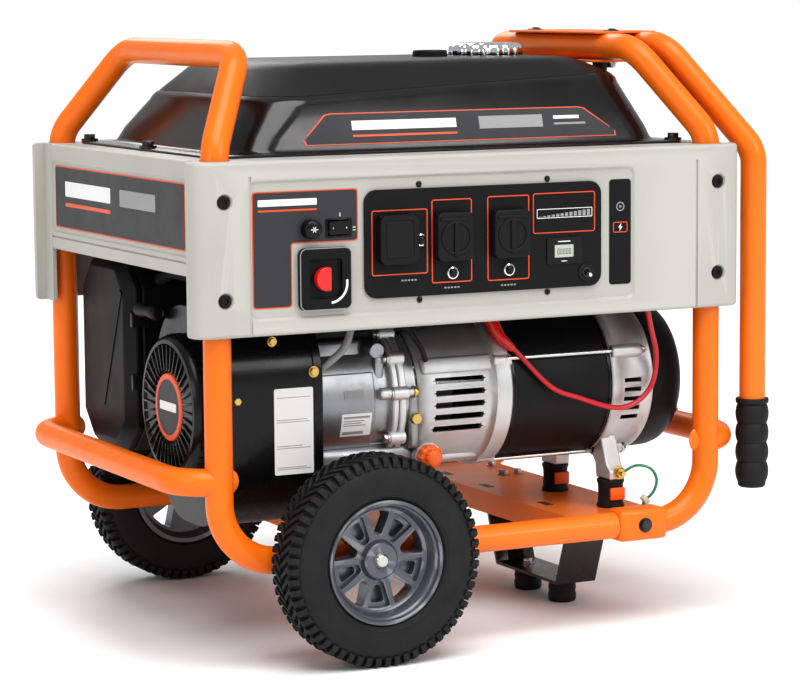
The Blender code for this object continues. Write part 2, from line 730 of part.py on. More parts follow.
def make_clamps(finish):
    """Two plates that hold the handle's crossbar beside the top bar of the right hoop."""
    near = HOOP_X - TUBE_RADIUS - CLAMP_OVERHANG
    far = CROSSBAR_X + TUBE_RADIUS + CLAMP_OVERHANG
    above = max(HOOP_Z, CROSSBAR_Z) + TUBE_RADIUS + PIVOT_ROOM
    below = min(HOOP_Z, CROSSBAR_Z) - TUBE_RADIUS - PIVOT_ROOM
    top = box((near, -CLAMP_HALF_Y, above), (far, CLAMP_HALF_Y, above + CLAMP_WALL), 0.001)
    piece("clamp_top_plate", top, finish)
    bottom = box((near, -CLAMP_HALF_Y, below - CLAMP_WALL), (far, CLAMP_HALF_Y, below), 0.001)
    piece("clamp_bottom_plate", bottom, finish)


# ---------------------------------------------------------------- covers
def cover_plan(side):
    """Plan of the front or back cover: a wall with proud round corners, short returns and a top lip."""
    corners = rounded((-COVER_X, -COVER_Y), (COVER_X, COVER_Y), COVER_CORNER, 5)
    half = [point for point in corners if point[1] < 0]
    plan = [(-SIDE_COVER_X, -COVER_END_Y), (-SIDE_COVER_X, -COVER_PILLAR_Y),
            (-COVER_X, -COVER_PILLAR_Y), *half,
            (COVER_X, -COVER_PILLAR_Y), (SIDE_COVER_X, -COVER_PILLAR_Y), (SIDE_COVER_X, -COVER_END_Y),
            (COVER_LIP_X, -COVER_END_Y), (COVER_LIP_X, -COVER_LIP_Y),
            (-COVER_LIP_X, -COVER_LIP_Y), (-COVER_LIP_X, -COVER_END_Y)]
    return [(x, -side * y) for x, y in plan]


def cover_hollow(side):
    """The room inside a cover, open at the bottom and towards the middle."""
    wall = COVER_WALL
    near, far = SIDE_COVER_X - wall, COVER_X - wall
    corners = rounded((-far, -COVER_Y + wall), (far, COVER_Y - wall), COVER_CORNER - wall, 5)
    half = [point for point in corners if point[1] < -COVER_PILLAR_Y - wall]
    reach, step = COVER_END_Y / 2, COVER_PILLAR_Y + wall
    plan = [(-near, -reach), (-near, -step), *half, (near, -step), (near, -reach)]
    plan = [(x, -side * y) for x, y in plan]
    return prism(plan, "Z", COVER_BOTTOM_Z - 0.01, COVER_TOP_Z - wall)


def post_hole(x, y):
    return rod("Z", (x, y), TUBE_RADIUS + POST_ROOM, COVER_TOP_Z - 2 * COVER_WALL, COVER_TOP_Z + 0.01, 20)


def make_cover(name, side, finish):
    cover = piece(name, prism(cover_plan(side), "Z", COVER_BOTTOM_Z, COVER_TOP_Z), finish)
    cut(cover, cover_hollow(side), post_hole(-POST_X, side * POST_Y), post_hole(POST_X, side * POST_Y))
    return cover


def make_front_cover(finish):
    cover = make_cover("front_cover", -1, finish)
    field = box((FIELD_LEFT_X, -COVER_Y - 0.01, FIELD_LOW_Z), (FIELD_RIGHT_X, FACE_Y, FIELD_HIGH_Z))
    through = (-COVER_Y - 0.01, -COVER_Y + 2 * COVER_WALL)
    margin = PANEL_WINDOW_MARGIN
    window = box((PANEL_LEFT_X + margin, through[0], PANEL_LOW_Z + margin),
                 (PANEL_RIGHT_X - margin, through[1], PANEL_HIGH_Z - margin))
    half_width = ROCKER_WIDTH / 2 + ROCKER_ROOM
    half_height = ROCKER_HEIGHT / 2 + ROCKER_ROOM
    rocker = box((ROCKER_X - half_width, through[0], SWITCH_Z - half_height),
                 (ROCKER_X + half_width, through[1], SWITCH_Z + half_height))
    stem = rod("Y", (CHOKE_X, SWITCH_Z), bore(CHOKE_STEM_RADIUS, 16), *through, 16)
    cut(cover, field, window, rocker, stem)


def make_side_cover(name, side, finish):
    wall = COVER_WALL
    outline = [(SIDE_COVER_X, SIDE_COVER_BOTTOM_Z), (SIDE_COVER_X, COVER_TOP_Z),
               (SIDE_LIP_X, COVER_TOP_Z), (SIDE_LIP_X, COVER_TOP_Z - wall),
               (SIDE_COVER_X - wall, COVER_TOP_Z - wall), (SIDE_COVER_X - wall, SIDE_COVER_BOTTOM_Z)]
    outline = [(side * x, z) for x, z in outline]
    reach = COVER_END_Y - GAP
    cover = piece(name, prism(outline, "Y", -reach, reach), finish)
    floor = side * (SIDE_COVER_X - SIDE_FIELD_DEPTH)
    outside = side * (SIDE_COVER_X + 0.01)
    margin = 0.012
    cut(cover, box((min(floor, outside), -reach + margin, SIDE_FIELD_LOW_Z),
                   (max(floor, outside), reach - margin, SIDE_FIELD_HIGH_Z)))


# ---------------------------------------------------------------- control panel
def make_outlet_panel(finish):
    """The black plate with three sockets sunk behind it and a hole for each breaker."""
    outline = rounded((PANEL_LEFT_X, PANEL_LOW_Z), (PANEL_RIGHT_X, PANEL_HIGH_Z), PANEL_CORNER)
    back = FACE_Y - GAP
    panel = piece("outlet_panel", prism(outline, "Y", PANEL_FACE_Y, back), finish)
    floor = PANEL_FACE_Y + SOCKET_DEPTH
    for x in SOCKET_XS:
        add(panel, rod("Y", (x, SOCKET_Z), SOCKET_RADIUS + SOCKET_WALL,
                       back - PANEL_WALL / 2, floor + SOCKET_WALL))
    for x in SOCKET_XS:
        cut(panel, rod("Y", (x, SOCKET_Z), SOCKET_RADIUS, PANEL_FACE_Y - 0.01, floor))
    for x0, x1, z0, z1 in (METER, DISPLAY):
        add(panel, box((x0, PANEL_FACE_Y - METER_OUT, z0), (x1, back - PANEL_WALL / 2, z1)))
    toggle = rod("Y", (TOGGLE_X, TOGGLE_Z), TOGGLE_HOLE, PANEL_FACE_Y - 0.01, back + 0.01, 12)
    cut(panel, toggle)
    for x, z in BREAKERS:
        cut(panel, rod("Y", (x, z), bore(BREAKER_RADIUS, 12), PANEL_FACE_Y - 0.01, back + 0.01, 12))


def make_lids(finish):
    """Spring lids hinged along their top edge."""
    back = PANEL_FACE_Y - GAP
    top = SOCKET_Z + LID_HEIGHT / 2
    for name, x in zip(("square_socket_lid", "left_socket_lid", "right_socket_lid"), SOCKET_XS):
        outline = rounded((x - LID_WIDTH / 2, top - LID_HEIGHT), (x + LID_WIDTH / 2, top), 0.008, 3)
        piece(name, prism(outline, "Y", back - LID_THICKNESS, back), finish, (x, back, top))


def make_breakers(finish):
    """Round push buttons, each with a flange behind the plate that keeps it in."""
    front = PANEL_FACE_Y - BREAKER_OUT
    behind = FACE_Y + GAP
    for number, (x, z) in enumerate(BREAKERS, start=1):
        profile = [(0, front), (BREAKER_RADIUS - 0.001, front), (BREAKER_RADIUS, front + 0.001),
                   (BREAKER_RADIUS, behind), (BREAKER_FLANGE, behind),
                   (BREAKER_FLANGE, behind + 0.0015), (BREAKER_RADIUS - 0.001, behind + 0.0015),
                   (BREAKER_RADIUS - 0.001, behind + BREAKER_IN), (0, behind + BREAKER_IN)]
        piece(f"breaker_button_{number}", turned(profile, "Y", (x, z), 12), finish, (x, front, z))


def make_toggle(finish):
    """A bat lever that leans down at rest."""
    centre_y = FACE_Y - GAP - PANEL_WALL / 2
    profile = [(0, -TOGGLE_OUT), (TOGGLE_TIP * 0.7, -TOGGLE_OUT), (TOGGLE_TIP, -TOGGLE_OUT + 0.002),
               (TOGGLE_RADIUS, -PANEL_WALL / 2), (TOGGLE_RADIUS, TOGGLE_IN), (0, TOGGLE_IN)]
    lever = turned(profile, "Y", (0, 0), 12)
    pivot = Vector((TOGGLE_X, centre_y, TOGGLE_Z))
    lean_down = Matrix.Translation(pivot) @ Matrix.Rotation(TOGGLE_LEAN, 4, "X")
    bmesh.ops.transform(lever, matrix=lean_down, verts=lever.verts)
    piece("idle_toggle", lever, finish, pivot)


def make_fuel_knob(finishes):
    half_w, half_h = BEZEL_WIDTH / 2, BEZEL_HEIGHT / 2
    back = FACE_Y - GAP
    outline = rounded((BEZEL_X - half_w, BEZEL_Z - half_h), (BEZEL_X + half_w, BEZEL_Z + half_h), 0.007)
    bezel = piece("fuel_knob_bezel", prism(outline, "Y", back - BEZEL_DEPTH, back), finishes["black_plastic"])
    half_w, half_h = BEZEL_POCKET_WIDTH / 2, BEZEL_POCKET_HEIGHT / 2
    floor = back - BEZEL_FLOOR
    cut(bezel, box((BEZEL_X - half_w, back - 2 * BEZEL_DEPTH, BEZEL_Z - half_h),
                   (BEZEL_X + half_w, floor, BEZEL_Z + half_h)))
    radius = FUEL_KNOB_RADIUS
    outline = []
    for step in range(11):
        angle = math.radians(70 + 220 * step / 10)
        outline.append((BEZEL_X + radius * math.cos(angle), BEZEL_Z + radius * math.sin(angle)))
    knob = prism(outline, "Y", floor - GAP - FUEL_KNOB_HEIGHT, floor - GAP)
    piece("fuel_knob", knob, finishes["red"], (BEZEL_X, floor, BEZEL_Z))


def make_switches(finish):
    """The choke knob on its stem, and the rocker that starts and stops the engine."""
    back = FACE_Y - GAP
    profile = [(0, back - CHOKE_OUT), (CHOKE_RADIUS - 0.002, back - CHOKE_OUT),
               (CHOKE_RADIUS, back - CHOKE_OUT + 0.002), (CHOKE_RADIUS, back),
               (CHOKE_STEM_RADIUS, back), (CHOKE_STEM_RADIUS, back + CHOKE_STEM), (0, back + CHOKE_STEM)]
    piece("choke_knob", turned(profile, "Y", (CHOKE_X, SWITCH_Z), 20), finish, (CHOKE_X, back, SWITCH_Z))
    half = ROCKER_WIDTH / 2
    outline = [(ROCKER_X - half, FACE_Y - ROCKER_OUT), (ROCKER_X, FACE_Y - ROCKER_OUT + 0.0022),
               (ROCKER_X + half, FACE_Y - ROCKER_OUT), (ROCKER_X + half * 0.8, FACE_Y + ROCKER_IN),
               (ROCKER_X - half * 0.8, FACE_Y + ROCKER_IN)]
    rocker = prism(outline, "Z", SWITCH_Z - ROCKER_HEIGHT / 2, SWITCH_Z + ROCKER_HEIGHT / 2)
    piece("start_rocker", rocker, finish, (ROCKER_X, FACE_Y, SWITCH_Z))


# ---------------------------------------------------------------- fuel tank
def tank_ring(half_x, half_y, z, shift=0.0, corner=TANK_CORNER):
    return [(x + shift, y, z) for x, y in rounded((-half_x, -half_y), (half_x, half_y), corner)]


def tank_skin(inset):
    """The tank's outside, or its inside when inset by the wall; the inside has no flange."""
    flange = TANK_FLANGE_Z
    floor = TANK_PAN_Z + inset
    rings = [tank_ring(TANK_PAN_X - TANK_PAN_SLOPE - inset, TANK_PAN_Y - TANK_PAN_SLOPE - inset, floor),
             tank_ring(TANK_PAN_X - inset, TANK_PAN_Y - inset, floor + TANK_PAN_SLOPE),
             tank_ring(TANK_PAN_X - inset, TANK_PAN_Y - inset, flange)]
    if not inset:
        rings += [tank_ring(TANK_FLANGE_X, TANK_FLANGE_Y, flange, corner=TANK_CORNER / 2),
                  tank_ring(TANK_FLANGE_X, TANK_FLANGE_Y, flange + TANK_FLANGE, corner=TANK_CORNER / 2)]
    above = flange + TANK_FLANGE
    rings += [tank_ring(TANK_BODY_X - inset, TANK_BODY_Y - inset, above, TANK_BODY_SHIFT),
              tank_ring(TANK_CREASE_X - inset, TANK_CREASE_Y - inset, TANK_CREASE_Z, TANK_CREASE_SHIFT),
              tank_ring(TANK_TOP_X + TANK_ROUND - inset, TANK_TOP_Y + TANK_ROUND - inset,
                        TANK_TOP_Z - TANK_ROUND / 2 - inset, TANK_TOP_SHIFT),
              tank_ring(TANK_TOP_X - inset, TANK_TOP_Y - inset, TANK_TOP_Z - inset, TANK_TOP_SHIFT)]
    return loft(rings)


def make_tank(finishes):
    tank = piece("fuel_tank", tank_skin(0.0), finishes["black_paint"])
    cut(tank, tank_skin(TANK_WALL))
    cut(tank, rod("Z", (FILLER_X, 0), FILLER_RADIUS, TANK_TOP_Z - 4 * TANK_WALL, TANK_TOP_Z + 0.01))
    base = TANK_TOP_Z + GAP
    plug = FILLER_RADIUS * math.cos(math.pi / ROUND_SIDES) - 3 * RUNNING
    cap = [(0, base + CAP_HEIGHT), (CAP_RADIUS - 0.006, base + CAP_HEIGHT),
           (CAP_RADIUS, base + CAP_HEIGHT - 0.004),
           (CAP_RADIUS, base), (plug, base), (plug, base - CAP_PLUG), (0, base - CAP_PLUG)]
    piece("fuel_cap", turned(cap, "Z", (FILLER_X, 0)), finishes["chrome"], (FILLER_X, 0, base))


# ---------------------------------------------------------------- engine
def lean(along, across):
    """A point of the leaning cylinder, from the shaft: along the cylinder, then across it."""
    sine, cosine = math.sin(CYLINDER_LEAN), math.cos(CYLINDER_LEAN)
    return (SHAFT_Y + along * sine + across * cosine, SHAFT_Z + along * cosine - across * sine)


def make_crankcase(finish):
    foot = MOUNT_Z
    seat_left = lean(CYLINDER_FOOT - GAP, -CYLINDER_HALF)
    seat_right = lean(CYLINDER_FOOT - GAP, CYLINDER_HALF)
    chamfer = 0.035
    outline = [(CASE_FRONT_Y + chamfer, foot), (CASE_BACK_Y - chamfer, foot),
               (CASE_BACK_Y, foot + chamfer), seat_right, seat_left,
               (CASE_FRONT_Y + chamfer, seat_left[1] - chamfer / 2),
               (CASE_FRONT_Y, seat_left[1] - 2 * chamfer), (CASE_FRONT_Y, foot + chamfer)]
    case = piece("crankcase", prism(outline, "X", CASE_START_X, CASE_END_X - GAP), finish)
    lug = box((CASE_END_X - 0.02, CASE_FRONT_Y, OIL_CAP_Z - 0.020),
              (OIL_CAP_X + 0.018, CASE_FRONT_Y + OIL_LUG_DEPTH, OIL_CAP_Z + 0.020), 0.003)
    add(case, lug)
    cut(case, rod("X", (SHAFT_Y, SHAFT_Z), bore(SHAFT_RADIUS, ROUND_SIDES),
                  CASE_START_X - 0.02, CASE_END_X + 0.05))


def make_oil_cap(finish):
    face = CASE_FRONT_Y - GAP
    outer = face - OIL_CAP_LENGTH
    profile = [(0, outer), (OIL_CAP_RADIUS * 0.6, outer), (OIL_CAP_RADIUS * 0.7, outer + 0.006),
               (OIL_CAP_RADIUS, outer + 0.009), (OIL_CAP_RADIUS, face), (0, face)]
    cap = turned(profile, "Y", (OIL_CAP_X, OIL_CAP_Z), 16)
    piece("oil_filler_cap", cap, finish, (OIL_CAP_X, face, OIL_CAP_Z))


def make_cylinder(finish):
    """The finned cylinder and head, one casting in outline."""
    pitch = CYLINDER_LENGTH / (2 * FINS - 1)
    right, left = [], []
    for fin in range(FINS):
        start = CYLINDER_FOOT + 2 * fin * pitch
        right += [lean(start, CYLINDER_HALF), lean(start + pitch, CYLINDER_HALF)]
        left += [lean(start, -CYLINDER_HALF), lean(start + pitch, -CYLINDER_HALF)]
        if fin < FINS - 1:
            right += [lean(start + pitch, CYLINDER_CORE), lean(start + 2 * pitch, CYLINDER_CORE)]
            left += [lean(start + pitch, -CYLINDER_CORE), lean(start + 2 * pitch, -CYLINDER_CORE)]
    piece("cylinder", prism(right + left[::-1], "X", CYLINDER_START_X, CYLINDER_END_X), finish)


def make_blower(finishes):
    low, high = (HOUSING_FRONT_Y, HOUSING_LOW_Z), (HOUSING_BACK_Y, HOUSING_HIGH_Z)
    end = CASE_START_X - GAP
    housing = piece("blower_housing", prism(rounded(low, high, HOUSING_CORNER, 6), "X", HOUSING_START_X, end),
                    finishes["black_paint"])
    wall = HOUSING_WALL
    inside = rounded((low[0] + wall, low[1] + wall), (high[0] - wall, high[1] - wall),
                     HOUSING_CORNER - wall, 6)
    centre = (SHAFT_Y, SHAFT_Z)
    cut(housing, prism(inside, "X", HOUSING_START_X + wall, end + 0.01),
        rod("X", centre, RECOIL_RADIUS - 0.020, HOUSING_START_X - 0.01, HOUSING_START_X + 2 * wall))
    face, shell = HOUSING_START_X - GAP, 0.004
    outer = RECOIL_RADIUS
    cup = [(0, RECOIL_FACE_X), (outer - 0.014, RECOIL_FACE_X), (outer, RECOIL_FACE_X + 0.010), (outer, face),
           (outer - shell, face), (outer - shell, RECOIL_FACE_X + 0.012),
           (outer - 0.016, RECOIL_FACE_X + shell), (0, RECOIL_FACE_X + shell)]
    piece("recoil_cover", turned(cup, "X", centre, FINE_SIDES), finishes["black_plastic"])
    bar = [(0, PULL_Y - PULL_LENGTH / 2), (PULL_RADIUS, PULL_Y - PULL_LENGTH / 2 + 0.004),
           (PULL_RADIUS * 0.8, PULL_Y), (PULL_RADIUS, PULL_Y + PULL_LENGTH / 2 - 0.004),
            (0, PULL_Y + PULL_LENGTH / 2)]
    x = HOUSING_START_X - GAP - PULL_RADIUS
    piece("recoil_pull", turned(bar, "Y", (x, PULL_Z), 12), finishes["black_plastic"], (x, PULL_Y, PULL_Z))


def make_intake(finishes):
    y0, y1, z0, z1 = AIR_BOX_FRONT_Y, AIR_BOX_BACK_Y, AIR_BOX_LOW_Z, AIR_BOX_HIGH_Z
    c = AIR_BOX_CHAMFER
    outline = [(y0 + c, z0), (y1 - c, z0), (y1, z0 + c), (y1, z1 - c), (y1 - c, z1), (y0 + c, z1),
               (y0, z1 - c), (y0, z0 + c)]
    piece("air_cleaner", prism(outline, "X", AIR_BOX_START_X, AIR_BOX_END_X), finishes["black_plastic"])
    half = CARBURETTOR_SIZE / 2
    low = (AIR_BOX_END_X + GAP, CARBURETTOR_Y - half, CARBURETTOR_Z - half)
    high = (CYLINDER_START_X - GAP, CARBURETTOR_Y + half, CARBURETTOR_Z + half)
    piece("carburettor", box(low, high, 0.006), finishes["aluminium"])


def make_muffler(finish):
    muffler = piece("muffler", box(MUFFLER_LOW, MUFFLER_HIGH, MUFFLER_BEVEL, 2), finish)
    height = (MUFFLER_LOW[2] + MUFFLER_HIGH[2]) / 2
    add(muffler, rod("Y", (TAILPIPE_X, height), TAILPIPE_RADIUS, MUFFLER_HIGH[1] - 0.02, TAILPIPE_END_Y, 16))


def make_battery(finish):
    middle = ENGINE_CHANNEL_X
    base = CHANNEL_TOP_Z + GAP
    low = (middle - BATTERY_WIDTH / 2, BATTERY_BACK_Y - BATTERY_DEPTH, base)
    high = (middle + BATTERY_WIDTH / 2, BATTERY_BACK_Y, base + BATTERY_HEIGHT)
    piece("battery", box(low, high, 0.004), finish)


# ---------------------------------------------------------------- alternator
def make_alternator(finishes):
    centre = (SHAFT_Y, SHAFT_Z)
    start, ring = CASE_END_X, BELL_END_X - 0.020
    inner, hole = BELL_RADIUS - BELL_WALL, bore(SHAFT_RADIUS, FINE_SIDES)
    bell = [(BELL_RADIUS - 0.006, start), (BELL_RADIUS, start + 0.010), (BELL_RADIUS, ring - 0.006),
            (BELL_RING_RADIUS, ring), (BELL_RING_RADIUS, BELL_END_X), (inner, BELL_END_X),
            (inner, start + BELL_WALL), (hole, start + BELL_WALL), (hole, start)]
    piece("bell_housing", turned(bell, "X", centre, FINE_SIDES, ring=True), finishes["aluminium"])
    start, end = BELL_END_X + GAP, STATOR_END_X - GAP
    stator = [(STATOR_RADIUS, start), (STATOR_RADIUS, end), (STATOR_BORE, end), (STATOR_BORE, start)]
    piece("stator", turned(stator, "X", centre, FINE_SIDES, ring=True), finishes["black_paint"])
    make_rear_bracket(centre, finishes["aluminium"])
    start = BRACKET_END_X + GAP
    wall = 0.003
    cover = [(0, END_COVER_X), (0.074, END_COVER_X), (0.087, END_COVER_X - 0.009), (0.0915, start + 0.012),
             (0.0895, start), (0.0895 - wall, start), (0.0885 - wall, start + 0.012),
             (0.084 - wall, END_COVER_X - 0.011), (0.072, END_COVER_X - wall), (0, END_COVER_X - wall)]
    piece("alternator_end_cover", turned(cover, "X", centre, FINE_SIDES), finishes["black_plastic"])


def make_rear_bracket(centre, finish):
    """The bearing bracket with its two splayed feet."""
    start, end = STATOR_END_X, BRACKET_END_X
    outer, inner = BRACKET_RADIUS, BRACKET_RADIUS - 0.008
    hole, wall = bore(SHAFT_RADIUS, FINE_SIDES), 0.009
    ring = [(outer, start), (outer, end), (hole, end), (hole, end - wall),
            (inner, end - wall), (inner, start)]
    bracket = piece("rear_bracket", turned(ring, "X", centre, FINE_SIDES, ring=True), finish)
    foot_z, spread_y, pad = MOUNT_Z, MOUNT_SPREAD_ALTERNATOR, ISOLATOR_RADIUS
    half = [(spread_y - pad, foot_z), (spread_y + pad, foot_z), (spread_y + pad, foot_z + 0.014),
            (0.052, SHAFT_Z - 0.070)]
    right = [(SHAFT_Y + y, z) for y, z in half]
    left = [(SHAFT_Y - y, z) for y, z in reversed(half)]
    crotch = [(SHAFT_Y - 0.030, SHAFT_Z - 0.089), (SHAFT_Y + 0.030, SHAFT_Z - 0.089)]
    x0 = MOUNT_X_ALTERNATOR - BRACKET_FOOT_WALL / 2
    add(bracket, prism(crotch[1:] + right + left + crotch[:1], "X", x0, x0 + BRACKET_FOOT_WALL))


def make_shaft_line(finishes):
    """The crankshaft with its flywheel, and the rotor pressed on its other end."""
    centre = (SHAFT_Y, SHAFT_Z)
    pivot = (0.0, SHAFT_Y, SHAFT_Z)
    disc = SHAFT_START_X + 0.024
    shaft = [(0, SHAFT_START_X), (SHAFT_RADIUS, SHAFT_START_X), (SHAFT_RADIUS, SHAFT_START_X + 0.006),
             (FLYWHEEL_HUB, SHAFT_START_X + 0.006), (FLYWHEEL_HUB, disc), (FLYWHEEL_RADIUS, disc),
             (FLYWHEEL_RADIUS, disc + FLYWHEEL_WIDTH), (SHAFT_RADIUS, disc + FLYWHEEL_WIDTH),
             (SHAFT_RADIUS, SHAFT_END_X), (0, SHAFT_END_X)]
    piece("crankshaft_and_flywheel", turned(shaft, "X", centre), finishes["steel"], pivot)
    seat = bore(SHAFT_RADIUS, ROUND_SIDES)
    start, end = BELL_END_X + ROTOR_MARGIN, STATOR_END_X - ROTOR_MARGIN
    outer = STATOR_BORE - ROTOR_ROOM
    rotor = [(seat, start), (outer, start), (outer, end), (seat, end)]
    piece("rotor", turned(rotor, "X", centre, ring=True), finishes["copper"], pivot)


# ---------------------------------------------------------------- cables
def smooth_path(points, step):
    """A smooth curve through the points, sampled about every step."""
    points = [Vector(point) for point in points]
    ends = [2 * points[0] - points[1], *points, 2 * points[-1] - points[-2]]
    path = []
    for before, start, end, after in zip(ends, ends[1:], ends[2:], ends[3:]):
        count = max(1, round((end - start).length / step))
        for index in range(count):
            t = index / count
            path.append(0.5 * (2 * start + (end - before) * t
                               + (2 * before - 5 * start + 4 * end - after) * t ** 2
                               + (3 * start - before - 3 * end + after) * t ** 3))
    return [*path, points[-1]]


def make_cables(finishes):
    """The battery cable, which hangs over the stator, and the earth wire from bracket to channel."""
    front = SHAFT_Y - STATOR_RADIUS - CABLE_HANG
    socket = (DISPLAY[1] - 0.020, FACE_Y + GAP, METER[3])
    route = [(BELL_END_X - 0.017, front + 0.036, 0.372), (BELL_END_X - 0.010, front + 0.026, 0.352),
             (0.082, front + 0.016, 0.333), (0.123, front + 0.004, 0.289), (0.161, front, 0.273),
             (0.200, front, 0.260), (0.225, front, 0.258), (0.248, front, 0.268), (0.263, front, 0.287),
             (0.266, front - 0.002, 0.319), (0.253, front - 0.011, 0.353),
             (0.238, front - 0.022, 0.385), (0.212, front - 0.030, 0.425),
             (0.165, front - 0.030, METER[3] - 0.006), (socket[0], FACE_Y + 0.018, METER[3]), socket]
    cable = piece("battery_cable", tube(smooth_path(route, 5 * CABLE_RADIUS), CABLE_RADIUS, 2),
                  finishes["red"])
    boot = tube([Vector(point) for point in route[:2]], BOOT_RADIUS, 3)
    add(cable, boot)
    pad_y = SHAFT_Y - MOUNT_SPREAD_ALTERNATOR - ISOLATOR_RADIUS - GAP
    top = CHANNEL_TOP_Z + GAP
    route = [(0.230, pad_y - WIRE_RADIUS, MOUNT_Z + 0.008), (0.243, pad_y - 0.012, 0.184),
             (0.260, pad_y - 0.018, 0.180),
             (0.268, pad_y - 0.020, 0.166), (0.264, pad_y - 0.018, 0.150), (0.254, pad_y - 0.013, top + 0.008),
             (0.2535, pad_y - 0.012, top)]
    piece("ground_wire", tube(smooth_path(route, 5 * WIRE_RADIUS), WIRE_RADIUS, 1), finishes["green"])


# ---------------------------------------------------------------- the whole machine
def build():
    finishes = make_finishes()
    orange, grey, rubber = finishes["orange"], finishes["grey"], finishes["rubber"]
    make_frame(orange)
    make_bumpers(orange)
    make_channel("engine_channel", ENGINE_CHANNEL_X, ENGINE_CHANNEL_WIDTH, POST_Y - TUBE_RADIUS / 3, orange)
    make_channel("alternator_channel", ALTERNATOR_CHANNEL_X, ALTERNATOR_CHANNEL_WIDTH,
                 POST_Y - SADDLE_DEPTH / 2 - GAP, orange)
    make_leg(finishes["black_paint"], rubber)
    make_isolators(rubber)
    for group, side in (("front", -1), ("back", 1)):
        make_wheel(group, side, finishes)
        make_axle_pin(group, side, finishes["steel"])
    make_handle(finishes)
    make_clamps(orange)
    make_front_cover(grey)
    make_cover("back_cover", 1, grey)
    make_side_cover("left_side_cover", -1, grey)
    make_side_cover("right_side_cover", 1, grey)
    make_outlet_panel(finishes["black_plastic"])
    make_lids(finishes["black_plastic"])
    make_breakers(finishes["black_plastic"])
    make_toggle(finishes["chrome"])
    make_fuel_knob(finishes)
    make_switches(finishes["black_plastic"])
    make_tank(finishes)
    make_crankcase(finishes["aluminium"])
    make_oil_cap(orange)
    make_cylinder(finishes["aluminium"])
    make_blower(finishes)
    make_intake(finishes)
    make_muffler(finishes["iron"])
    make_battery(finishes["black_plastic"])
    make_alternator(finishes)
    make_shaft_line(finishes)
    make_cables(finishes)


clear_scene()
BASE = bpy.data.objects.new("machine_base", None)
BASE.location = (CENTRE_SHIFT, 0.0, 0.0)
bpy.context.scene.collection.objects.link(BASE)
build()
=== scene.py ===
"""The looks of the portable generator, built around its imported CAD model.

Shapes are written in metres from the middle of the tube frame, +X towards the handle, and moved by SHIFT
into the row's frame as each piece is made.
"""

import math

import bmesh
import bpy
from mathutils import Matrix, Vector


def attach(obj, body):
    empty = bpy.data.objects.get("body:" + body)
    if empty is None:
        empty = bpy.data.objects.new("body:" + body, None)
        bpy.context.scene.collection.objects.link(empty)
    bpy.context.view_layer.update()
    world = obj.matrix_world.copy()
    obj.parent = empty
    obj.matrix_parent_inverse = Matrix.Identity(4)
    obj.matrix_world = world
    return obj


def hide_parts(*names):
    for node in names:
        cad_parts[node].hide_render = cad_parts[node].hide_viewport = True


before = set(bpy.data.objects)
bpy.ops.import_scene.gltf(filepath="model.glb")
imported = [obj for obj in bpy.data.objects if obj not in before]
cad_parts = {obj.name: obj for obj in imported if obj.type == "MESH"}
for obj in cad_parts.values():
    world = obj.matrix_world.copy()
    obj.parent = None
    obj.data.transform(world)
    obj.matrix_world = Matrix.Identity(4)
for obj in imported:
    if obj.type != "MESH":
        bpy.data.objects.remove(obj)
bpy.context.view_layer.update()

# ---------------------------------------------------------------- sizes of the CAD model
SHIFT = -0.01505
TUBE = 0.0159
POST_X, POST_Y = 0.3205, 0.239
RAIL_Z = 0.1205
BUMPER_Z = 0.215
ARM_X = 0.388
CROSSBAR_X, CROSSBAR_Z = 0.3115, 0.690
COVER_X, COVER_Y = 0.3565, 0.266
COVER_LOW, COVER_HIGH = 0.3785, 0.5735
SIDE_X = 0.3440
FIELD_Y = -0.263
PANEL_Y = -0.2668
SHAFT_Y, SHAFT_Z = -0.108, 0.284
AXLE_X = -0.150
WHEEL_IN, WHEEL_OUT = 0.2594, 0.3174
RIM_R, SPOKES = 0.072, 5
SOCKETS = (-0.112, -0.040, 0.0335)
SOCKET_Z, SOCKET_R = 0.480, 0.0195
FLANGE_Z = 0.5768
GAP = 0.0003
SADDLE = 0.0175
CHANNEL_TOP = 0.131
COVER_WALL, COVER_CORNER = 0.005, 0.022
SCREW_HEIGHTS = (0.529, 0.420)
CHOKE = (-0.217, 0.4955)
ROCKER_HOLE = (-0.1959, -0.1669, 0.4865, 0.5045)
STATOR_R = 0.092
SHAFT = (SHAFT_Y, SHAFT_Z)
WHEEL = (AXLE_X, RAIL_Z)
BOLT_ANGLES = [math.radians(65 + 90 * k) for k in range(4)]
FRONT_BACK = (("front", -1), ("back", 1))
LEFT_RIGHT = (("left", -1), ("right", 1))


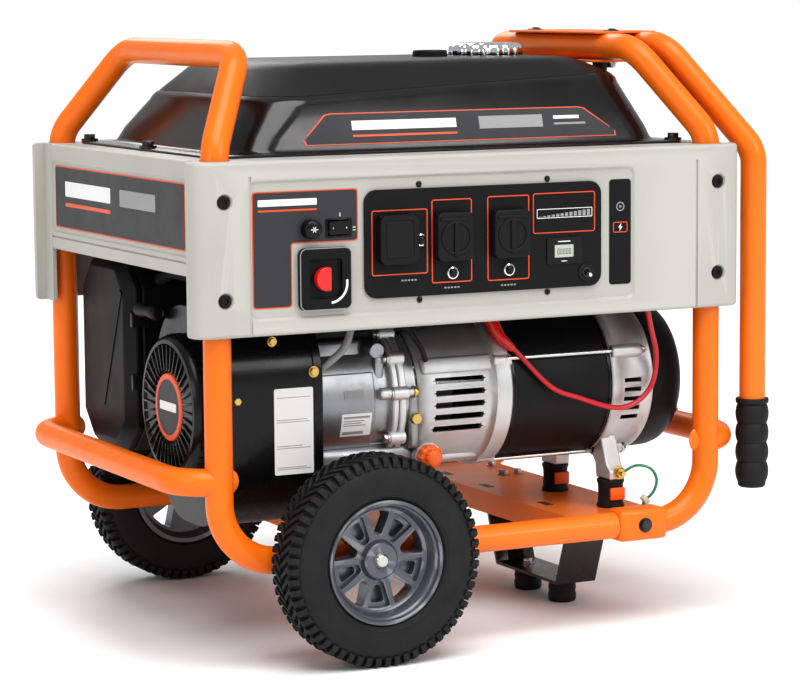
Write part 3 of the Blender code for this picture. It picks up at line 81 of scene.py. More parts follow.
# ---------------------------------------------------------------- materials
def surface(name, colour, rough=0.4, metallic=0.0, grain=300.0, bump=0.05, mottle=0.08,
            mottle_scale=9.0, rough_var=0.10, coat=0.0, coat_rough=0.1, worn=None, specular=0.5):
    """A procedural finish: mottled colour, uneven roughness, fine grain, and paint worn thin on edges."""
    material = bpy.data.materials.new(name)
    material.use_nodes = True
    tree = material.node_tree
    shader = tree.nodes["Principled BSDF"]
    shader.inputs["Metallic"].default_value = metallic
    shader.inputs["Coat Weight"].default_value = coat
    shader.inputs["Coat Roughness"].default_value = coat_rough
    shader.inputs["Specular IOR Level"].default_value = specular
    place = tree.nodes.new("ShaderNodeTexCoord")

    def noise(scale, detail=3.0):
        node = tree.nodes.new("ShaderNodeTexNoise")
        node.inputs["Scale"].default_value = scale
        node.inputs["Detail"].default_value = detail
        tree.links.new(place.outputs["Object"], node.inputs["Vector"])
        return node.outputs["Fac"]

    ramp = tree.nodes.new("ShaderNodeValToRGB")
    ramp.color_ramp.elements[0].position = 0.3
    ramp.color_ramp.elements[1].position = 0.7
    ramp.color_ramp.elements[0].color = (*[c * (1 - mottle) for c in colour], 1.0)
    ramp.color_ramp.elements[1].color = (*[min(1.0, c * (1 + mottle)) for c in colour], 1.0)
    tree.links.new(noise(mottle_scale), ramp.inputs["Fac"])
    out = ramp.outputs["Color"]
    if worn:
        geometry = tree.nodes.new("ShaderNodeNewGeometry")
        edge = tree.nodes.new("ShaderNodeMapRange")
        edge.inputs["From Min"].default_value = 0.52
        edge.inputs["From Max"].default_value = 0.60
        edge.inputs["To Max"].default_value = 0.45
        tree.links.new(geometry.outputs["Pointiness"], edge.inputs["Value"])
        mix = tree.nodes.new("ShaderNodeMix")
        mix.data_type = "RGBA"
        mix.inputs["B"].default_value = (*worn, 1.0)
        tree.links.new(edge.outputs["Result"], mix.inputs["Factor"])
        tree.links.new(out, mix.inputs["A"])
        out = mix.outputs["Result"]
    tree.links.new(out, shader.inputs["Base Color"])
    spread = tree.nodes.new("ShaderNodeMapRange")
    spread.inputs["To Min"].default_value = max(0.03, rough - rough_var)
    spread.inputs["To Max"].default_value = min(1.0, rough + rough_var)
    tree.links.new(noise(mottle_scale * 3.1), spread.inputs["Value"])
    tree.links.new(spread.outputs["Result"], shader.inputs["Roughness"])
    relief = tree.nodes.new("ShaderNodeBump")
    relief.inputs["Strength"].default_value = bump
    relief.inputs["Distance"].default_value = 0.0006
    tree.links.new(noise(grain, 2.0), relief.inputs["Height"])
    tree.links.new(relief.outputs["Normal"], shader.inputs["Normal"])
    return material


M = {"orange": surface("orange_coat", (0.84, 0.165, 0.003), 0.40, grain=220, bump=0.08, mottle=0.05,
                       coat=0.18, coat_rough=0.14, worn=(0.92, 0.22, 0.03), specular=0.3),
     "grey": surface("grey_moulding", (0.415, 0.415, 0.375), 0.42, grain=900, bump=0.10, mottle=0.03,
                     worn=(0.52, 0.52, 0.48)), "tank": surface("tank_black", (0.006, 0.006, 0.007), 0.22,
                                                               grain=500, bump=0.05, mottle=0.2, coat=0.3,
                                                               coat_rough=0.08, specular=0.4),
     "tank_rough": surface("tank_textured_black", (0.006, 0.006, 0.007), 0.36, grain=1300, bump=0.45,
                           mottle=0.25, specular=0.28),
     "black": surface("black_coat", (0.011, 0.011, 0.012), 0.30, grain=400, bump=0.08, mottle=0.2, coat=0.3),
     "plastic": surface("black_moulding", (0.007, 0.007, 0.008), 0.48, grain=1100, bump=0.20, mottle=0.15,
                        specular=0.24), "gloss": surface("black_gloss_moulding", (0.005, 0.005, 0.006), 0.27,
                                                         grain=700, bump=0.05, mottle=0.15, coat=0.10,
                                                         specular=0.26), "rubber": surface("black_rubber",
                                                                                           (0.009, 0.009,
                                                                                            0.010), 0.60,
                                                                                           grain=900,
                                                                                           bump=0.25,
                                                                                           mottle=0.2,
                                                                                           specular=0.35),
     "tyre": surface("tyre_rubber", (0.011, 0.011, 0.012), 0.62, grain=700, bump=0.30, mottle=0.25,
                     mottle_scale=40, specular=0.35),
     "rim": surface("rim_moulding", (0.105, 0.112, 0.130), 0.30, metallic=0.45, grain=900, bump=0.10,
                    mottle=0.08, coat=0.3, worn=(0.36, 0.37, 0.40)),
     # A darker copy of the cast aluminium for the crankcase: painted shade standing in for its reflective
     # contrast, while the bell keeps the brighter cast
     "cast_painted_shade": surface("cast_aluminium_painted_shade", (0.30, 0.305, 0.315), 0.36, metallic=0.9, grain=900, bump=0.35,
                          mottle=0.12, mottle_scale=24, worn=(0.62, 0.62, 0.62)),
     "cast": surface("cast_aluminium", (0.56, 0.56, 0.56), 0.46, metallic=0.85, grain=900, bump=0.45,
                     mottle=0.08, mottle_scale=24, worn=(0.80, 0.80, 0.80)),
     "steel": surface("zinc_steel", (0.58, 0.57, 0.55), 0.30, metallic=1.0, grain=600, bump=0.10, mottle=0.08,
                      mottle_scale=60), "chrome": surface("polished_chrome", (0.82, 0.82, 0.84), 0.10,
                                                          metallic=1.0, grain=200, bump=0.02, mottle=0.03,
                                                          rough_var=0.04), "brass": surface("brass",
                                                                                            (0.62, 0.43,
                                                                                             0.14), 0.32,
                                                                                            metallic=1.0,
                                                                                            grain=500,
                                                                                            bump=0.10,
                                                                                            mottle=0.1,
                                                                                            mottle_scale=60),
     "iron": surface("dark_iron", (0.045, 0.043, 0.042), 0.55, metallic=0.6, grain=500, bump=0.35, mottle=0.3,
                     mottle_scale=30), "decal": surface("decal_charcoal", (0.040, 0.040, 0.043), 0.45,
                                                        grain=1500, bump=0.04, mottle=0.05, specular=0.3),
     "decal_black": surface("decal_black", (0.007, 0.007, 0.008), 0.48, grain=1500, bump=0.04, mottle=0.08,
                            specular=0.2), "line": surface("decal_orange", (0.72, 0.085, 0.018), 0.38,
                                                           grain=1500, bump=0.03, mottle=0.05),
     "white": surface("decal_white", (0.78, 0.78, 0.77), 0.42, grain=1200, bump=0.03, mottle=0.03),
     "mid": surface("decal_grey", (0.28, 0.28, 0.28), 0.40, grain=1200, bump=0.03, mottle=0.05),
     "lcd": surface("meter_glass", (0.42, 0.45, 0.38), 0.16, grain=1500, bump=0.02, mottle=0.05, coat=0.8,
                    coat_rough=0.03), "red": surface("red_moulding", (0.68, 0.012, 0.010), 0.28, grain=800,
                                                     bump=0.08, mottle=0.06, coat=0.3),
     "cable": surface("crimson_cable", (0.50, 0.008, 0.020), 0.36, grain=500, bump=0.05, mottle=0.06,
                      coat=0.3), "green": surface("green_wire", (0.020, 0.22, 0.11), 0.36, grain=500,
                                                  bump=0.05, mottle=0.08, coat=0.2),
     "clear": surface("nylon_terminal", (0.62, 0.62, 0.50), 0.30, grain=600, bump=0.05, mottle=0.1),
     "orange_plastic": surface("orange_moulding", (0.85, 0.13, 0.012), 0.36, grain=800, bump=0.12,
                               mottle=0.06), "battery": surface("battery_case", (0.020, 0.020, 0.022), 0.5,
                                                                grain=700, bump=0.15, mottle=0.12),
     "copper": surface("windings", (0.35, 0.14, 0.06), 0.4, metallic=0.8, grain=400, bump=0.3, mottle=0.2),}


# ---------------------------------------------------------------- making pieces
def mesh_of(shape, smooth=35.0):
    """Turns a bmesh into a mesh in the row's frame, shaded smooth but for its sharp edges."""
    bmesh.ops.recalc_face_normals(shape, faces=shape.faces)
    bmesh.ops.translate(shape, verts=shape.verts, vec=(SHIFT, 0.0, 0.0))
    mesh = bpy.data.meshes.new("shape")
    shape.to_mesh(mesh)
    shape.free()
    mesh.shade_smooth()
    mesh.set_sharp_from_angle(angle=math.radians(smooth))
    return mesh


def merged(shapes):
    """Several bmeshes as one."""
    whole = bmesh.new()
    for shape in shapes:
        part = bpy.data.meshes.new("part")
        shape.to_mesh(part)
        shape.free()
        whole.from_mesh(part)
        bpy.data.meshes.remove(part)
    return whole


def piece(name, shape, finish, body="frame", replaces=(), smooth=35.0, bevel=0.0, segments=2):
    """A visible piece.  The shape is a bmesh or a list of them."""
    if isinstance(shape, list):
        shape = merged(shape)
    obj = bpy.data.objects.new(name, mesh_of(shape, smooth))
    bpy.context.scene.collection.objects.link(obj)
    obj.data.materials.append(M[finish])
    if bevel:
        soften(obj, bevel, segments)
    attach(obj, body)
    if replaces:
        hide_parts(*replaces)
    return obj


def soften(obj, width, segments=2, angle=30.0):
    """Rounds the piece's edges with a modifier."""
    modifier = obj.modifiers.new("Soften", "BEVEL")
    modifier.width = width
    modifier.segments = segments
    modifier.limit_method = "ANGLE"
    modifier.angle_limit = math.radians(angle)
    modifier.harden_normals = True


def level(obj):
    """Weights the shading by face size, so that flat walls look flat beside their rounded edges."""
    modifier = obj.modifiers.new("Level", "WEIGHTED_NORMAL")
    modifier.keep_sharp = True
    modifier.weight = 80


def carve(obj, cutters, operation="DIFFERENCE"):
    """Cuts (or adds) shapes, and keeps the result as the piece's own mesh.  It comes before any softening."""
    tools = []
    for shape in cutters:
        tool = bpy.data.objects.new("tool", mesh_of(shape))
        bpy.context.scene.collection.objects.link(tool)
        modifier = obj.modifiers.new("Carve", "BOOLEAN")
        modifier.operation = operation
        modifier.object = tool
        tools.append(tool)
    # Softening waits until the shape is whole.
    waiting = [m for m in obj.modifiers if m.type == "BEVEL"]
    for modifier in waiting:
        modifier.show_viewport = False
    bpy.context.view_layer.update()
    graph = bpy.context.evaluated_depsgraph_get()
    mesh = bpy.data.meshes.new_from_object(obj.evaluated_get(graph))
    for modifier in list(obj.modifiers):
        if modifier.type == "BOOLEAN":
            obj.modifiers.remove(modifier)
    for modifier in waiting:
        modifier.show_viewport = True
    obj.data = mesh
    mesh.shade_smooth()
    mesh.set_sharp_from_angle(angle=math.radians(35))
    for tool in tools:
        bpy.data.objects.remove(tool, do_unlink=True)
    return obj


# ---------------------------------------------------------------- shapes
def spread(point, axis, along):
    """A point of the plane across an axis, as a place in space."""
    first, second = point
    if axis == "X":
        return (along, first, second)
    if axis == "Y":
        return (first, along, second)
    return (first, second, along)


def block(low, high, bevel=0.0, segments=2):
    shape = bmesh.new()
    size = Vector(high) - Vector(low)
    middle = (Vector(high) + Vector(low)) / 2
    bmesh.ops.create_cube(shape, size=1.0, matrix=Matrix.Translation(middle) @ Matrix.Diagonal((*size, 1.0)))
    if bevel:
        bmesh.ops.bevel(shape, geom=shape.edges[:], offset=bevel, segments=segments, affect="EDGES",
                        profile=0.5)
    return shape


def prism(outline, axis, start, end):
    shape = bmesh.new()
    face = shape.faces.new([shape.verts.new(spread(point, axis, start)) for point in outline])
    drawn = bmesh.ops.extrude_face_region(shape, geom=[face])["geom"]
    moved = [item for item in drawn if isinstance(item, bmesh.types.BMVert)]
    bmesh.ops.translate(shape, verts=moved, vec=spread((0.0, 0.0), axis, end - start))
    return shape


def rounded(low, high, corner, steps=6):
    (x0, y0), (x1, y1) = low, high
    centres = ((x1 - corner, y1 - corner, 0), (x0 + corner, y1 - corner, 90),
               (x0 + corner, y0 + corner, 180), (x1 - corner, y0 + corner, 270))
    points = []
    for cx, cy, start in centres:
        for step in range(steps + 1):
            angle = math.radians(start + 90 * step / steps)
            points.append((cx + corner * math.cos(angle), cy + corner * math.sin(angle)))
    return points


def round_corners(outline, radius, steps=5):
    """An outline of any turns with each of its corners rounded."""
    points = []
    count = len(outline)
    for index, corner in enumerate(outline):
        corner = Vector(corner)
        before = (Vector(outline[index - 1]) - corner).normalized()
        after = (Vector(outline[(index + 1) % count]) - corner).normalized()
        for step in range(steps + 1):
            t = step / steps
            start, end = corner + before * radius, corner + after * radius
            points.append(tuple(start * (1 - t) ** 2 + corner * 2 * t * (1 - t) + end * t ** 2))
    return points


def slab(x0, x1, z0, z1, y_back, thick, corner=0.003, steps=5):
    """A thin plate on a wall that faces -Y."""
    return prism(rounded((x0, z0), (x1, z1), corner, steps), "Y", y_back - thick, y_back)


def turned(profile, axis, centre, sides=32, ring=False, scallop=0.0, lobes=0, at=0.0, side=1):
    """A profile of (radius, along) turned about an axis, with lobes on its outside if asked for.

    Its along values are measured from at, and a side of -1 mirrors the whole.
    """
    shape = bmesh.new()
    rows = []
    for radius, along in profile:
        row = []
        for step in range(sides if radius > 0 else 1):
            angle = 2 * math.pi * step / sides
            reach = radius * (1 + scallop * (math.cos(lobes * angle) - 1) / 2) if lobes else radius
            flat = (centre[0] + reach * math.cos(angle), centre[1] + reach * math.sin(angle))
            row.append(shape.verts.new(spread(flat, axis, side * (at + along))))
        rows.append(row)
    pairs = list(zip(rows, rows[1:])) + ([(rows[-1], rows[0])] if ring else [])
    for first, second in pairs:
        for step in range(sides):
            after = (step + 1) % sides
            loop = [first[step % len(first)], first[after % len(first)],
                    second[after % len(second)], second[step % len(second)]]
            corners = list(dict.fromkeys(loop))
            if len(corners) > 2:
                shape.faces.new(corners)
    return shape


def rod(axis, centre, radius, start, end, sides=24, edge=0.0):
    """A round bar whose ends are eased."""
    lean = math.copysign(edge, end - start)
    if edge:
        profile = [(0, start), (radius - edge, start), (radius, start + lean), (radius, end - lean),
                   (radius - edge, end), (0, end)]
    else:
        profile = [(0, start), (radius, start), (radius, end), (0, end)]
    return turned(profile, axis, centre, sides)


def hexagon(axis, centre, across, start, end, turn=0.0):
    radius = across / math.sqrt(3)
    outline = [(centre[0] + radius * math.cos(turn + math.pi * k / 3),
                centre[1] + radius * math.sin(turn + math.pi * k / 3)) for k in range(6)]
    shape = prism(outline, axis, start, end)
    bmesh.ops.bevel(shape, geom=shape.edges[:], offset=across * 0.04, segments=1, affect="EDGES")
    return shape


def bolt(axis, centre, across, face, height, washer=True):
    """A hexagon head with a washer, standing on a face; a negative height stands the other way."""
    shapes = [hexagon(axis, centre, across, face, face + height)]
    if washer:
        shapes.append(rod(axis, centre, across * 0.72, face, face + height * 0.22, 20))
    return shapes


def loft(sections, caps=True):
    """A skin over rings with the same number of points."""
    shape = bmesh.new()
    rings = [[shape.verts.new(point) for point in section] for section in sections]
    for first, second in zip(rings, rings[1:]):
        for side in range(len(first)):
            after = (side + 1) % len(first)
            shape.faces.new((first[side], first[after], second[after], second[side]))
    if caps:
        shape.faces.new(rings[0])
        shape.faces.new(rings[-1])
    return shape


def bent_path(corners, bend, steps=14):
    """A path through corners, each turned with the same bend radius."""
    corners = [Vector(corner) for corner in corners]
    points = [corners[0]]
    for before, corner, after in zip(corners, corners[1:], corners[2:]):
        incoming = (corner - before).normalized()
        outgoing = (after - corner).normalized()
        turn = incoming.angle(outgoing)
        reach = bend * math.tan(turn / 2)
        centre = corner + (outgoing - incoming).normalized() * (bend / math.cos(turn / 2))
        start = corner - incoming * reach - centre
        normal = incoming.cross(outgoing).normalized()
        for step in range(steps + 1):
            points.append(centre + Matrix.Rotation(turn * step / steps, 3, normal) @ start)
    points.append(corners[-1])
    return points


def smooth_path(points, step):
    """A smooth curve through the points, sampled about every step."""
    points = [Vector(point) for point in points]
    ends = [2 * points[0] - points[1], *points, 2 * points[-1] - points[-2]]
    path = []
    for before, start, end, after in zip(ends, ends[1:], ends[2:], ends[3:]):
        count = max(1, round((end - start).length / step))
        for index in range(count):
            t = index / count
            path.append(0.5 * (2 * start + (end - before) * t
                               + (2 * before - 5 * start + 4 * end - after) * t ** 2
                               + (3 * start - before - 3 * end + after) * t ** 3))
    return [*path, points[-1]]


def tube(path, radius, facets=6):
    curve = bpy.data.curves.new("path", "CURVE")
    curve.dimensions = "3D"
    curve.bevel_depth = radius
    curve.bevel_resolution = facets
    curve.use_fill_caps = True
    spline = curve.splines.new("POLY")
    spline.points.add(len(path) - 1)
    for target, point in zip(spline.points, path):
        target.co = (*point, 1.0)
    guide = bpy.data.objects.new("path", curve)
    mesh = bpy.data.meshes.new_from_object(guide)
    shape = bmesh.new()
    shape.from_mesh(mesh)
    bmesh.ops.remove_doubles(shape, verts=shape.verts, dist=0.00001)
    bpy.data.objects.remove(guide)
    bpy.data.curves.remove(curve)
    bpy.data.meshes.remove(mesh)
    return shape


def wire(points, radius, facets=3):
    return tube(smooth_path(points, 0.006), radius, facets)


def moved(shape, matrix):
    bmesh.ops.transform(shape, matrix=matrix, verts=shape.verts)
    return shape


def around(shape, axis, centre, angle):
    """Turns a shape about an axis through a centre given on the plane across it."""
    pivot = Vector(spread(centre, axis, 0.0))
    return moved(shape, Matrix.Translation(pivot) @ Matrix.Rotation(angle, 4,
                                                                    axis) @ Matrix.Translation(-pivot))


def spun(make, count):
    """Copies of a shape, evenly spaced about the shaft line."""
    return [around(make(), "X", SHAFT, 2 * math.pi * k / count) for k in range(count)]


def about_shaft(radius, angle):
    return (SHAFT_Y + radius * math.cos(angle), SHAFT_Z + radius * math.sin(angle))


# ---------------------------------------------------------------- frame
def hoop(side):
    """The corners of a hoop: up a post, over the top bar and down the other post."""
    post, bar = side * POST_X, side * 0.2605
    return [(post, -POST_Y, RAIL_Z), (post, -POST_Y, 0.585), (bar, -0.168, 0.688),
            (bar, 0.168, 0.688), (post, POST_Y, 0.585), (post, POST_Y, RAIL_Z)]


def frame_path(side, end_x):
    """A hoop's whole tube, from its bottom rail's end at the front to the one at the back."""
    corners = hoop(side)
    low_bend, high_bend = 0.070, 0.048
    front = bent_path([(end_x, -POST_Y, RAIL_Z), corners[0], corners[1]], low_bend)
    top = bent_path(corners, high_bend)
    back = bent_path([corners[4], corners[5], (end_x, POST_Y, RAIL_Z)], low_bend)
    return front[:-1] + top[1:-1] + back[1:]


def make_frame():
    """Two hoops, joined by the right one's saddles, and a bumper bar at each end."""
    piece("left_frame_hoop", tube(frame_path(-1, 0.1907), TUBE, 8), "orange",
          replaces=["left_frame_tube"])
    shapes = [tube(frame_path(1, 0.241), TUBE, 8)]
    for _, side in FRONT_BACK:
        y = side * POST_Y
        shapes.append(block((0.191, y - SADDLE, RAIL_Z - 0.019), (0.257, y + SADDLE, RAIL_Z + 0.019), 0.006,
                            3))
    piece("right_frame_hoop", shapes, "orange", replaces=["right_frame_tube"])
    for name, side in FRONT_BACK:
        outer, inner = side * (POST_Y + SADDLE), side * (POST_Y - SADDLE)
        piece(f"{name}_saddle_bolt", bolt("Y", (0.225, RAIL_Z), 0.0125, outer, side * 0.005), "black")
        piece(f"{name}_saddle_nut", bolt("Y", (0.225, RAIL_Z), 0.0125, inner, -side * 0.008), "steel")
    for name, side in LEFT_RIGHT:
        start, bend, bow = side * (POST_X - 0.002), side * (POST_X - 0.010), side * (POST_X + 0.042)
        path = bent_path([(bend, -POST_Y, BUMPER_Z), (bow, -POST_Y, BUMPER_Z), (bow, POST_Y, BUMPER_Z),
                          (bend, POST_Y, BUMPER_Z)], 0.050)
        path[0] = Vector((start, -POST_Y, BUMPER_Z))
        path[-1] = Vector((start, POST_Y, BUMPER_Z))
        piece(f"{name}_bumper_bar", tube(path, TUBE, 8), "orange",
              replaces=[f"{name}_bumper_tube"])


def make_channels():
    """Bolts and slots along the tops of the cross channels; the slots are thin dark plates, painted shade
    where the openings are.
    """
    bolts = []
    for y in (-0.150, 0.095, 0.165):
        bolts += bolt("Z", (0.246, y), 0.010, CHANNEL_TOP, 0.006)
    for y in (-0.165, 0.095):
        bolts += bolt("Z", (0.225, y), 0.012, CHANNEL_TOP, 0.007)
    piece("channel_bolts", bolts, "steel")
    # Thin dark plates on the channel tops stand in for the slot openings: painted shade
    slots = [block((0.160, y - 0.012, 0.1305), (0.170, y + 0.012, 0.1314), 0.0002, 1)
             for y in (-0.12, 0.03, 0.14)]
    piece("channel_slot_painted_shade", slots, "iron")


def make_leg():
    """Gussets in the corners of the strap leg, and its two feet."""
    x, middle, top, floor = 0.207, -0.045, 0.1257, 0.0323
    ribs = []
    for _, side in FRONT_BACK:
        outline = [(middle + side * 0.072, floor), (middle + side * 0.050, floor),
                   (middle + side * 0.094, top - 0.030)]
        ribs.append(prism(outline, "X", 0.2065, 0.2095))
    piece("leg_gussets", ribs, "black")
    profile = [(0, 0.0), (0.0140, 0.0), (0.0165, 0.0012), (0.0175, 0.004), (0.0175, 0.010), (0.0166, 0.0115),
               (0.0166, 0.0150), (0.0173, 0.0165), (0.0165, 0.0265), (0.0150, 0.028), (0, 0.028)]
    for name, side in FRONT_BACK:
        centre = (x, middle + side * 0.0435)
        piece(f"{name}_foot", turned(profile, "Z", centre, 40), "rubber",
              replaces=[f"{name}_rubber_foot"])
        piece(f"{name}_foot_nut", bolt("Z", centre, 0.011, floor, 0.007), "steel")


def make_isolators():
    """Rubber blocks under the engine and the alternator, each with an orange clip on its front."""
    low, height = 0.1313, 0.034
    profile = [(0, 0), (0.0165, 0), (0.017, 0.002), (0.0155, 0.006), (0.0150, 0.017),
               (0.0155, height - 0.006), (0.017, height - 0.002), (0.0165, height), (0, height)]
    for place, x, spread_y in (("engine", -0.074, 0.070), ("alternator", 0.225, 0.0675)):
        for end, side in FRONT_BACK:
            name, y = f"{place}_{end}", SHAFT_Y + side * spread_y
            piece(f"{name}_mount", turned(profile, "Z", (x, y), 32, at=low), "rubber",
                  replaces=[f"{name}_isolator"])
            clip = block((x - 0.010, y - 0.0185, low + 0.010), (x + 0.010, y - 0.0145, low + 0.025), 0.001)
            piece(f"{name}_mount_clip", clip, "orange_plastic")


# ---------------------------------------------------------------- wheels
def tyre_shapes(side):
    """Casing with rounded shoulders, a chevron tread and lugs round both shoulders."""
    y0, y1 = WHEEL_IN, WHEEL_OUT
    mid = (y0 + y1) / 2
    profile = [(RIM_R + GAP, y0 + 0.004), (RIM_R + GAP, y1 - 0.004), (RIM_R + 0.003, y1 - 0.001),
               (RIM_R + 0.010, y1), (RIM_R + 0.022, y1), (0.103, y1 - 0.001), (0.110, y1 - 0.004),
               (0.1150, y1 - 0.010), (0.1163, mid), (0.1150, y0 + 0.010), (0.110, y0 + 0.004),
               (0.103, y0 + 0.001), (RIM_R + 0.022, y0), (RIM_R + 0.010, y0), (RIM_R + 0.003, y0 + 0.001)]
    shapes = [turned(profile, "Y", WHEEL, 96, ring=True, side=side)]
    for radius in (RIM_R + 0.006, RIM_R + 0.019):
        bead = [(radius - 0.0010, -0.0006), (radius, 0), (radius + 0.0010, -0.0006), (radius, -0.002)]
        shapes.append(turned(bead, "Y", WHEEL, 96, ring=True, at=y1, side=side))
    lugs, lead = 60, 0.13
    half = math.pi / lugs
    for index in range(lugs):
        angle = 2 * half * index
        shapes.append(around(shoulder_lug(side, y1, -1), "Y", WHEEL, angle))
        shapes.append(around(shoulder_lug(side, y0, 1), "Y", WHEEL, angle + half))
        shapes.append(around(tread_bar(side, mid, 1), "Y", WHEEL, angle + lead))
        shapes.append(around(tread_bar(side, mid, -1), "Y", WHEEL, angle + half + lead))
    return shapes


def shoulder_lug(side, edge, inward):
    """One block that wraps a shoulder, from the side wall onto the tread."""
    outline = [(0.1090, 0.0016), (0.1135, 0.0010), (0.1172, 0.0024), (0.1198, 0.0058), (0.1203, 0.0092),
               (0.1140, 0.0092), (0.1120, 0.0060), (0.1080, 0.0040)]
    return loft([[(AXLE_X + radius + grow, side * (edge + inward * depth), RAIL_Z + across)
                  for radius, depth in outline]
                 for across, grow in ((-0.0034, -0.0007), (-0.0027, 0.0), (0.0027, 0.0), (0.0034, -0.0007))])


def tread_bar(side, mid, hand):
    """One slanted bar of the tread, from near the middle out to a shoulder lug."""
    sections = []
    for share in (0.0, 0.5, 1.0):
        y = side * (mid + hand * (0.0008 + share * 0.0190))
        swing = -share * 0.0135
        top = 0.1201 - 0.0012 * share
        bar = ((0.1120, -0.0031), (top - 0.0006, -0.0027), (top, -0.0021), (top, 0.0021),
               (top - 0.0006, 0.0027), (0.1120, 0.0031))
        sections.append([(AXLE_X + radius, y, RAIL_Z + swing + across) for radius, across in bar])
    return loft(sections)


def rim_pie(side, number, near, far, narrow, wide, y0, y1, turn=0.25):
    """A wedge between two spokes, with round corners."""
    middle = 2 * math.pi * (number + turn) / SPOKES
    corners = ((near, -narrow), (near, narrow), (far, wide), (far, 0.0), (far, -wide))
    outline = [(AXLE_X + r * math.cos(middle + a), RAIL_Z + r * math.sin(middle + a)) for r, a in corners]
    shape = prism(outline, "Y", min(side * y0, side * y1), max(side * y0, side * y1))
    upright = [e for e in shape.edges if abs(e.verts[0].co.y - e.verts[1].co.y) > 0.001]
    bmesh.ops.bevel(shape, geom=upright, offset=0.0030, segments=3, affect="EDGES", profile=0.5)
    return shape


def make_wheel(name, side):
    """A lugged tyre on a rim whose spokes are what three sets of wedges leave."""
    body = f"{name}_wheel"
    piece(f"{name}_lugged_tyre", tyre_shapes(side), "tyre", body, [f"{name}_tyre"], smooth=28)
    inner, outer = WHEEL_IN, WHEEL_OUT
    dish = outer - 0.024
    profile = [(0.0068, inner), (0.0180, inner), (0.0180, dish - 0.019), (0.060, dish - 0.019),
               (0.066, inner + 0.002), (RIM_R - 0.0004, inner + 0.002), (RIM_R - 0.0002, outer - 0.0045),
               (RIM_R - 0.0010, outer - 0.0015), (RIM_R - 0.0030, outer - 0.0005),
               (RIM_R - 0.0050, outer - 0.0020), (RIM_R - 0.0062, outer - 0.0060),
               (RIM_R - 0.0075, outer - 0.0068), (RIM_R - 0.0090, outer - 0.0085), (0.0600, dish + 0.0030),
               (0.0575, dish + 0.0008), (0.0550, dish), (0.0235, dish + 0.0010), (0.0215, dish + 0.0035),
               (0.0205, dish + 0.0075), (0.0190, dish + 0.0085), (0.0120, dish + 0.0085),
               (0.0068, dish + 0.0070)]
    rim = piece(f"{name}_spoked_rim", turned(profile, "Y", WHEEL, 80, ring=True, side=side),
                "rim", body, [f"{name}_rim"])
    past = outer + 0.01
    wedges = ((0.0290, 0.0565, 0.13, 0.265, inner - 0.01, past),
              (0.0250, 0.0560, 0.19, 0.265, dish - 0.0050, past, 0.75),
              (0.0300, 0.0500, 0.13, 0.175, dish - 0.0150, past, 0.75))
    carve(rim, [rim_pie(side, k, *wedge) for wedge in wedges for k in range(SPOKES)])
    soften(rim, 0.0007, 2)


def make_axle(name, side):
    """A headed pin through the rim, its hairpin inside the rail, and the plate that it passes through."""
    face = WHEEL_OUT - 0.020 + GAP
    profile = [(0, face + 0.0085), (0.0060, face + 0.0080), (0.0078, face + 0.0065), (0.0085, face + 0.0040),
               (0.0092, face + 0.0030), (0.0092, face - 0.0040), (0.0063, face - 0.0045),
               (0.0063, POST_Y - 0.034), (0, POST_Y - 0.0345)]
    piece(f"{name}_axle", turned(profile, "Y", WHEEL, 32, side=side), "steel",
          replaces=[f"{name}_axle_pin"])
    y = side * (POST_Y - 0.027)
    loop = ((-0.004, 0.014), (0.0, 0.018), (0.004, 0.014), (0.001, 0.006), (0.0005, -0.018))
    piece(f"{name}_hairpin", wire([(AXLE_X + x, y, RAIL_Z + z) for x, z in loop], 0.0011), "steel")
    y = side * (POST_Y - TUBE - 0.0005)
    plate = [block((AXLE_X - 0.016, y - 0.0015, RAIL_Z - 0.020), (AXLE_X + 0.016, y + 0.0015, RAIL_Z + 0.020),
                   0.001)]
    piece(f"{name}_axle_plate", plate, "steel")


# ---------------------------------------------------------------- handle
def make_handle():
    """A bent tube with a ribbed grip on each end."""
    corners = [(ARM_X, -POST_Y, 0.158), (ARM_X, -POST_Y, 0.563), (CROSSBAR_X, -0.156, CROSSBAR_Z),
               (CROSSBAR_X, 0.156, CROSSBAR_Z), (ARM_X, POST_Y, 0.563), (ARM_X, POST_Y, 0.158)]
    piece("handle_bar", tube(bent_path(corners, 0.045), TUBE, 8), "orange", "handle",
          ["handle_tube"])
    low, high = 0.151, 0.261
    ribs, steps = 4, 48
    profile = [(0, low), (0.0120, low), (0.0150, low + 0.0006), (0.0168, low + 0.0025), (0.0172, low + 0.006)]
    for step in range(steps + 1):
        share = step / steps
        wave = abs(math.sin(math.pi * ribs * share)) ** 0.7
        profile.append((0.0176 + 0.0027 * wave, low + 0.008 + (high - low - 0.015) * share))
    profile += [(0.0196, high - 0.0060), (0.0202, high - 0.0040), (0.0202, high - 0.0012), (0.0195, high),
                (0.0162, high), (0.0162, low + 0.006), (0, low + 0.006)]
    for name, side in FRONT_BACK:
        piece(f"{name}_finger_grip", turned(profile, "Z", (ARM_X, side * POST_Y), 40), "rubber", "handle",
              [f"{name}_grip"], smooth=50)


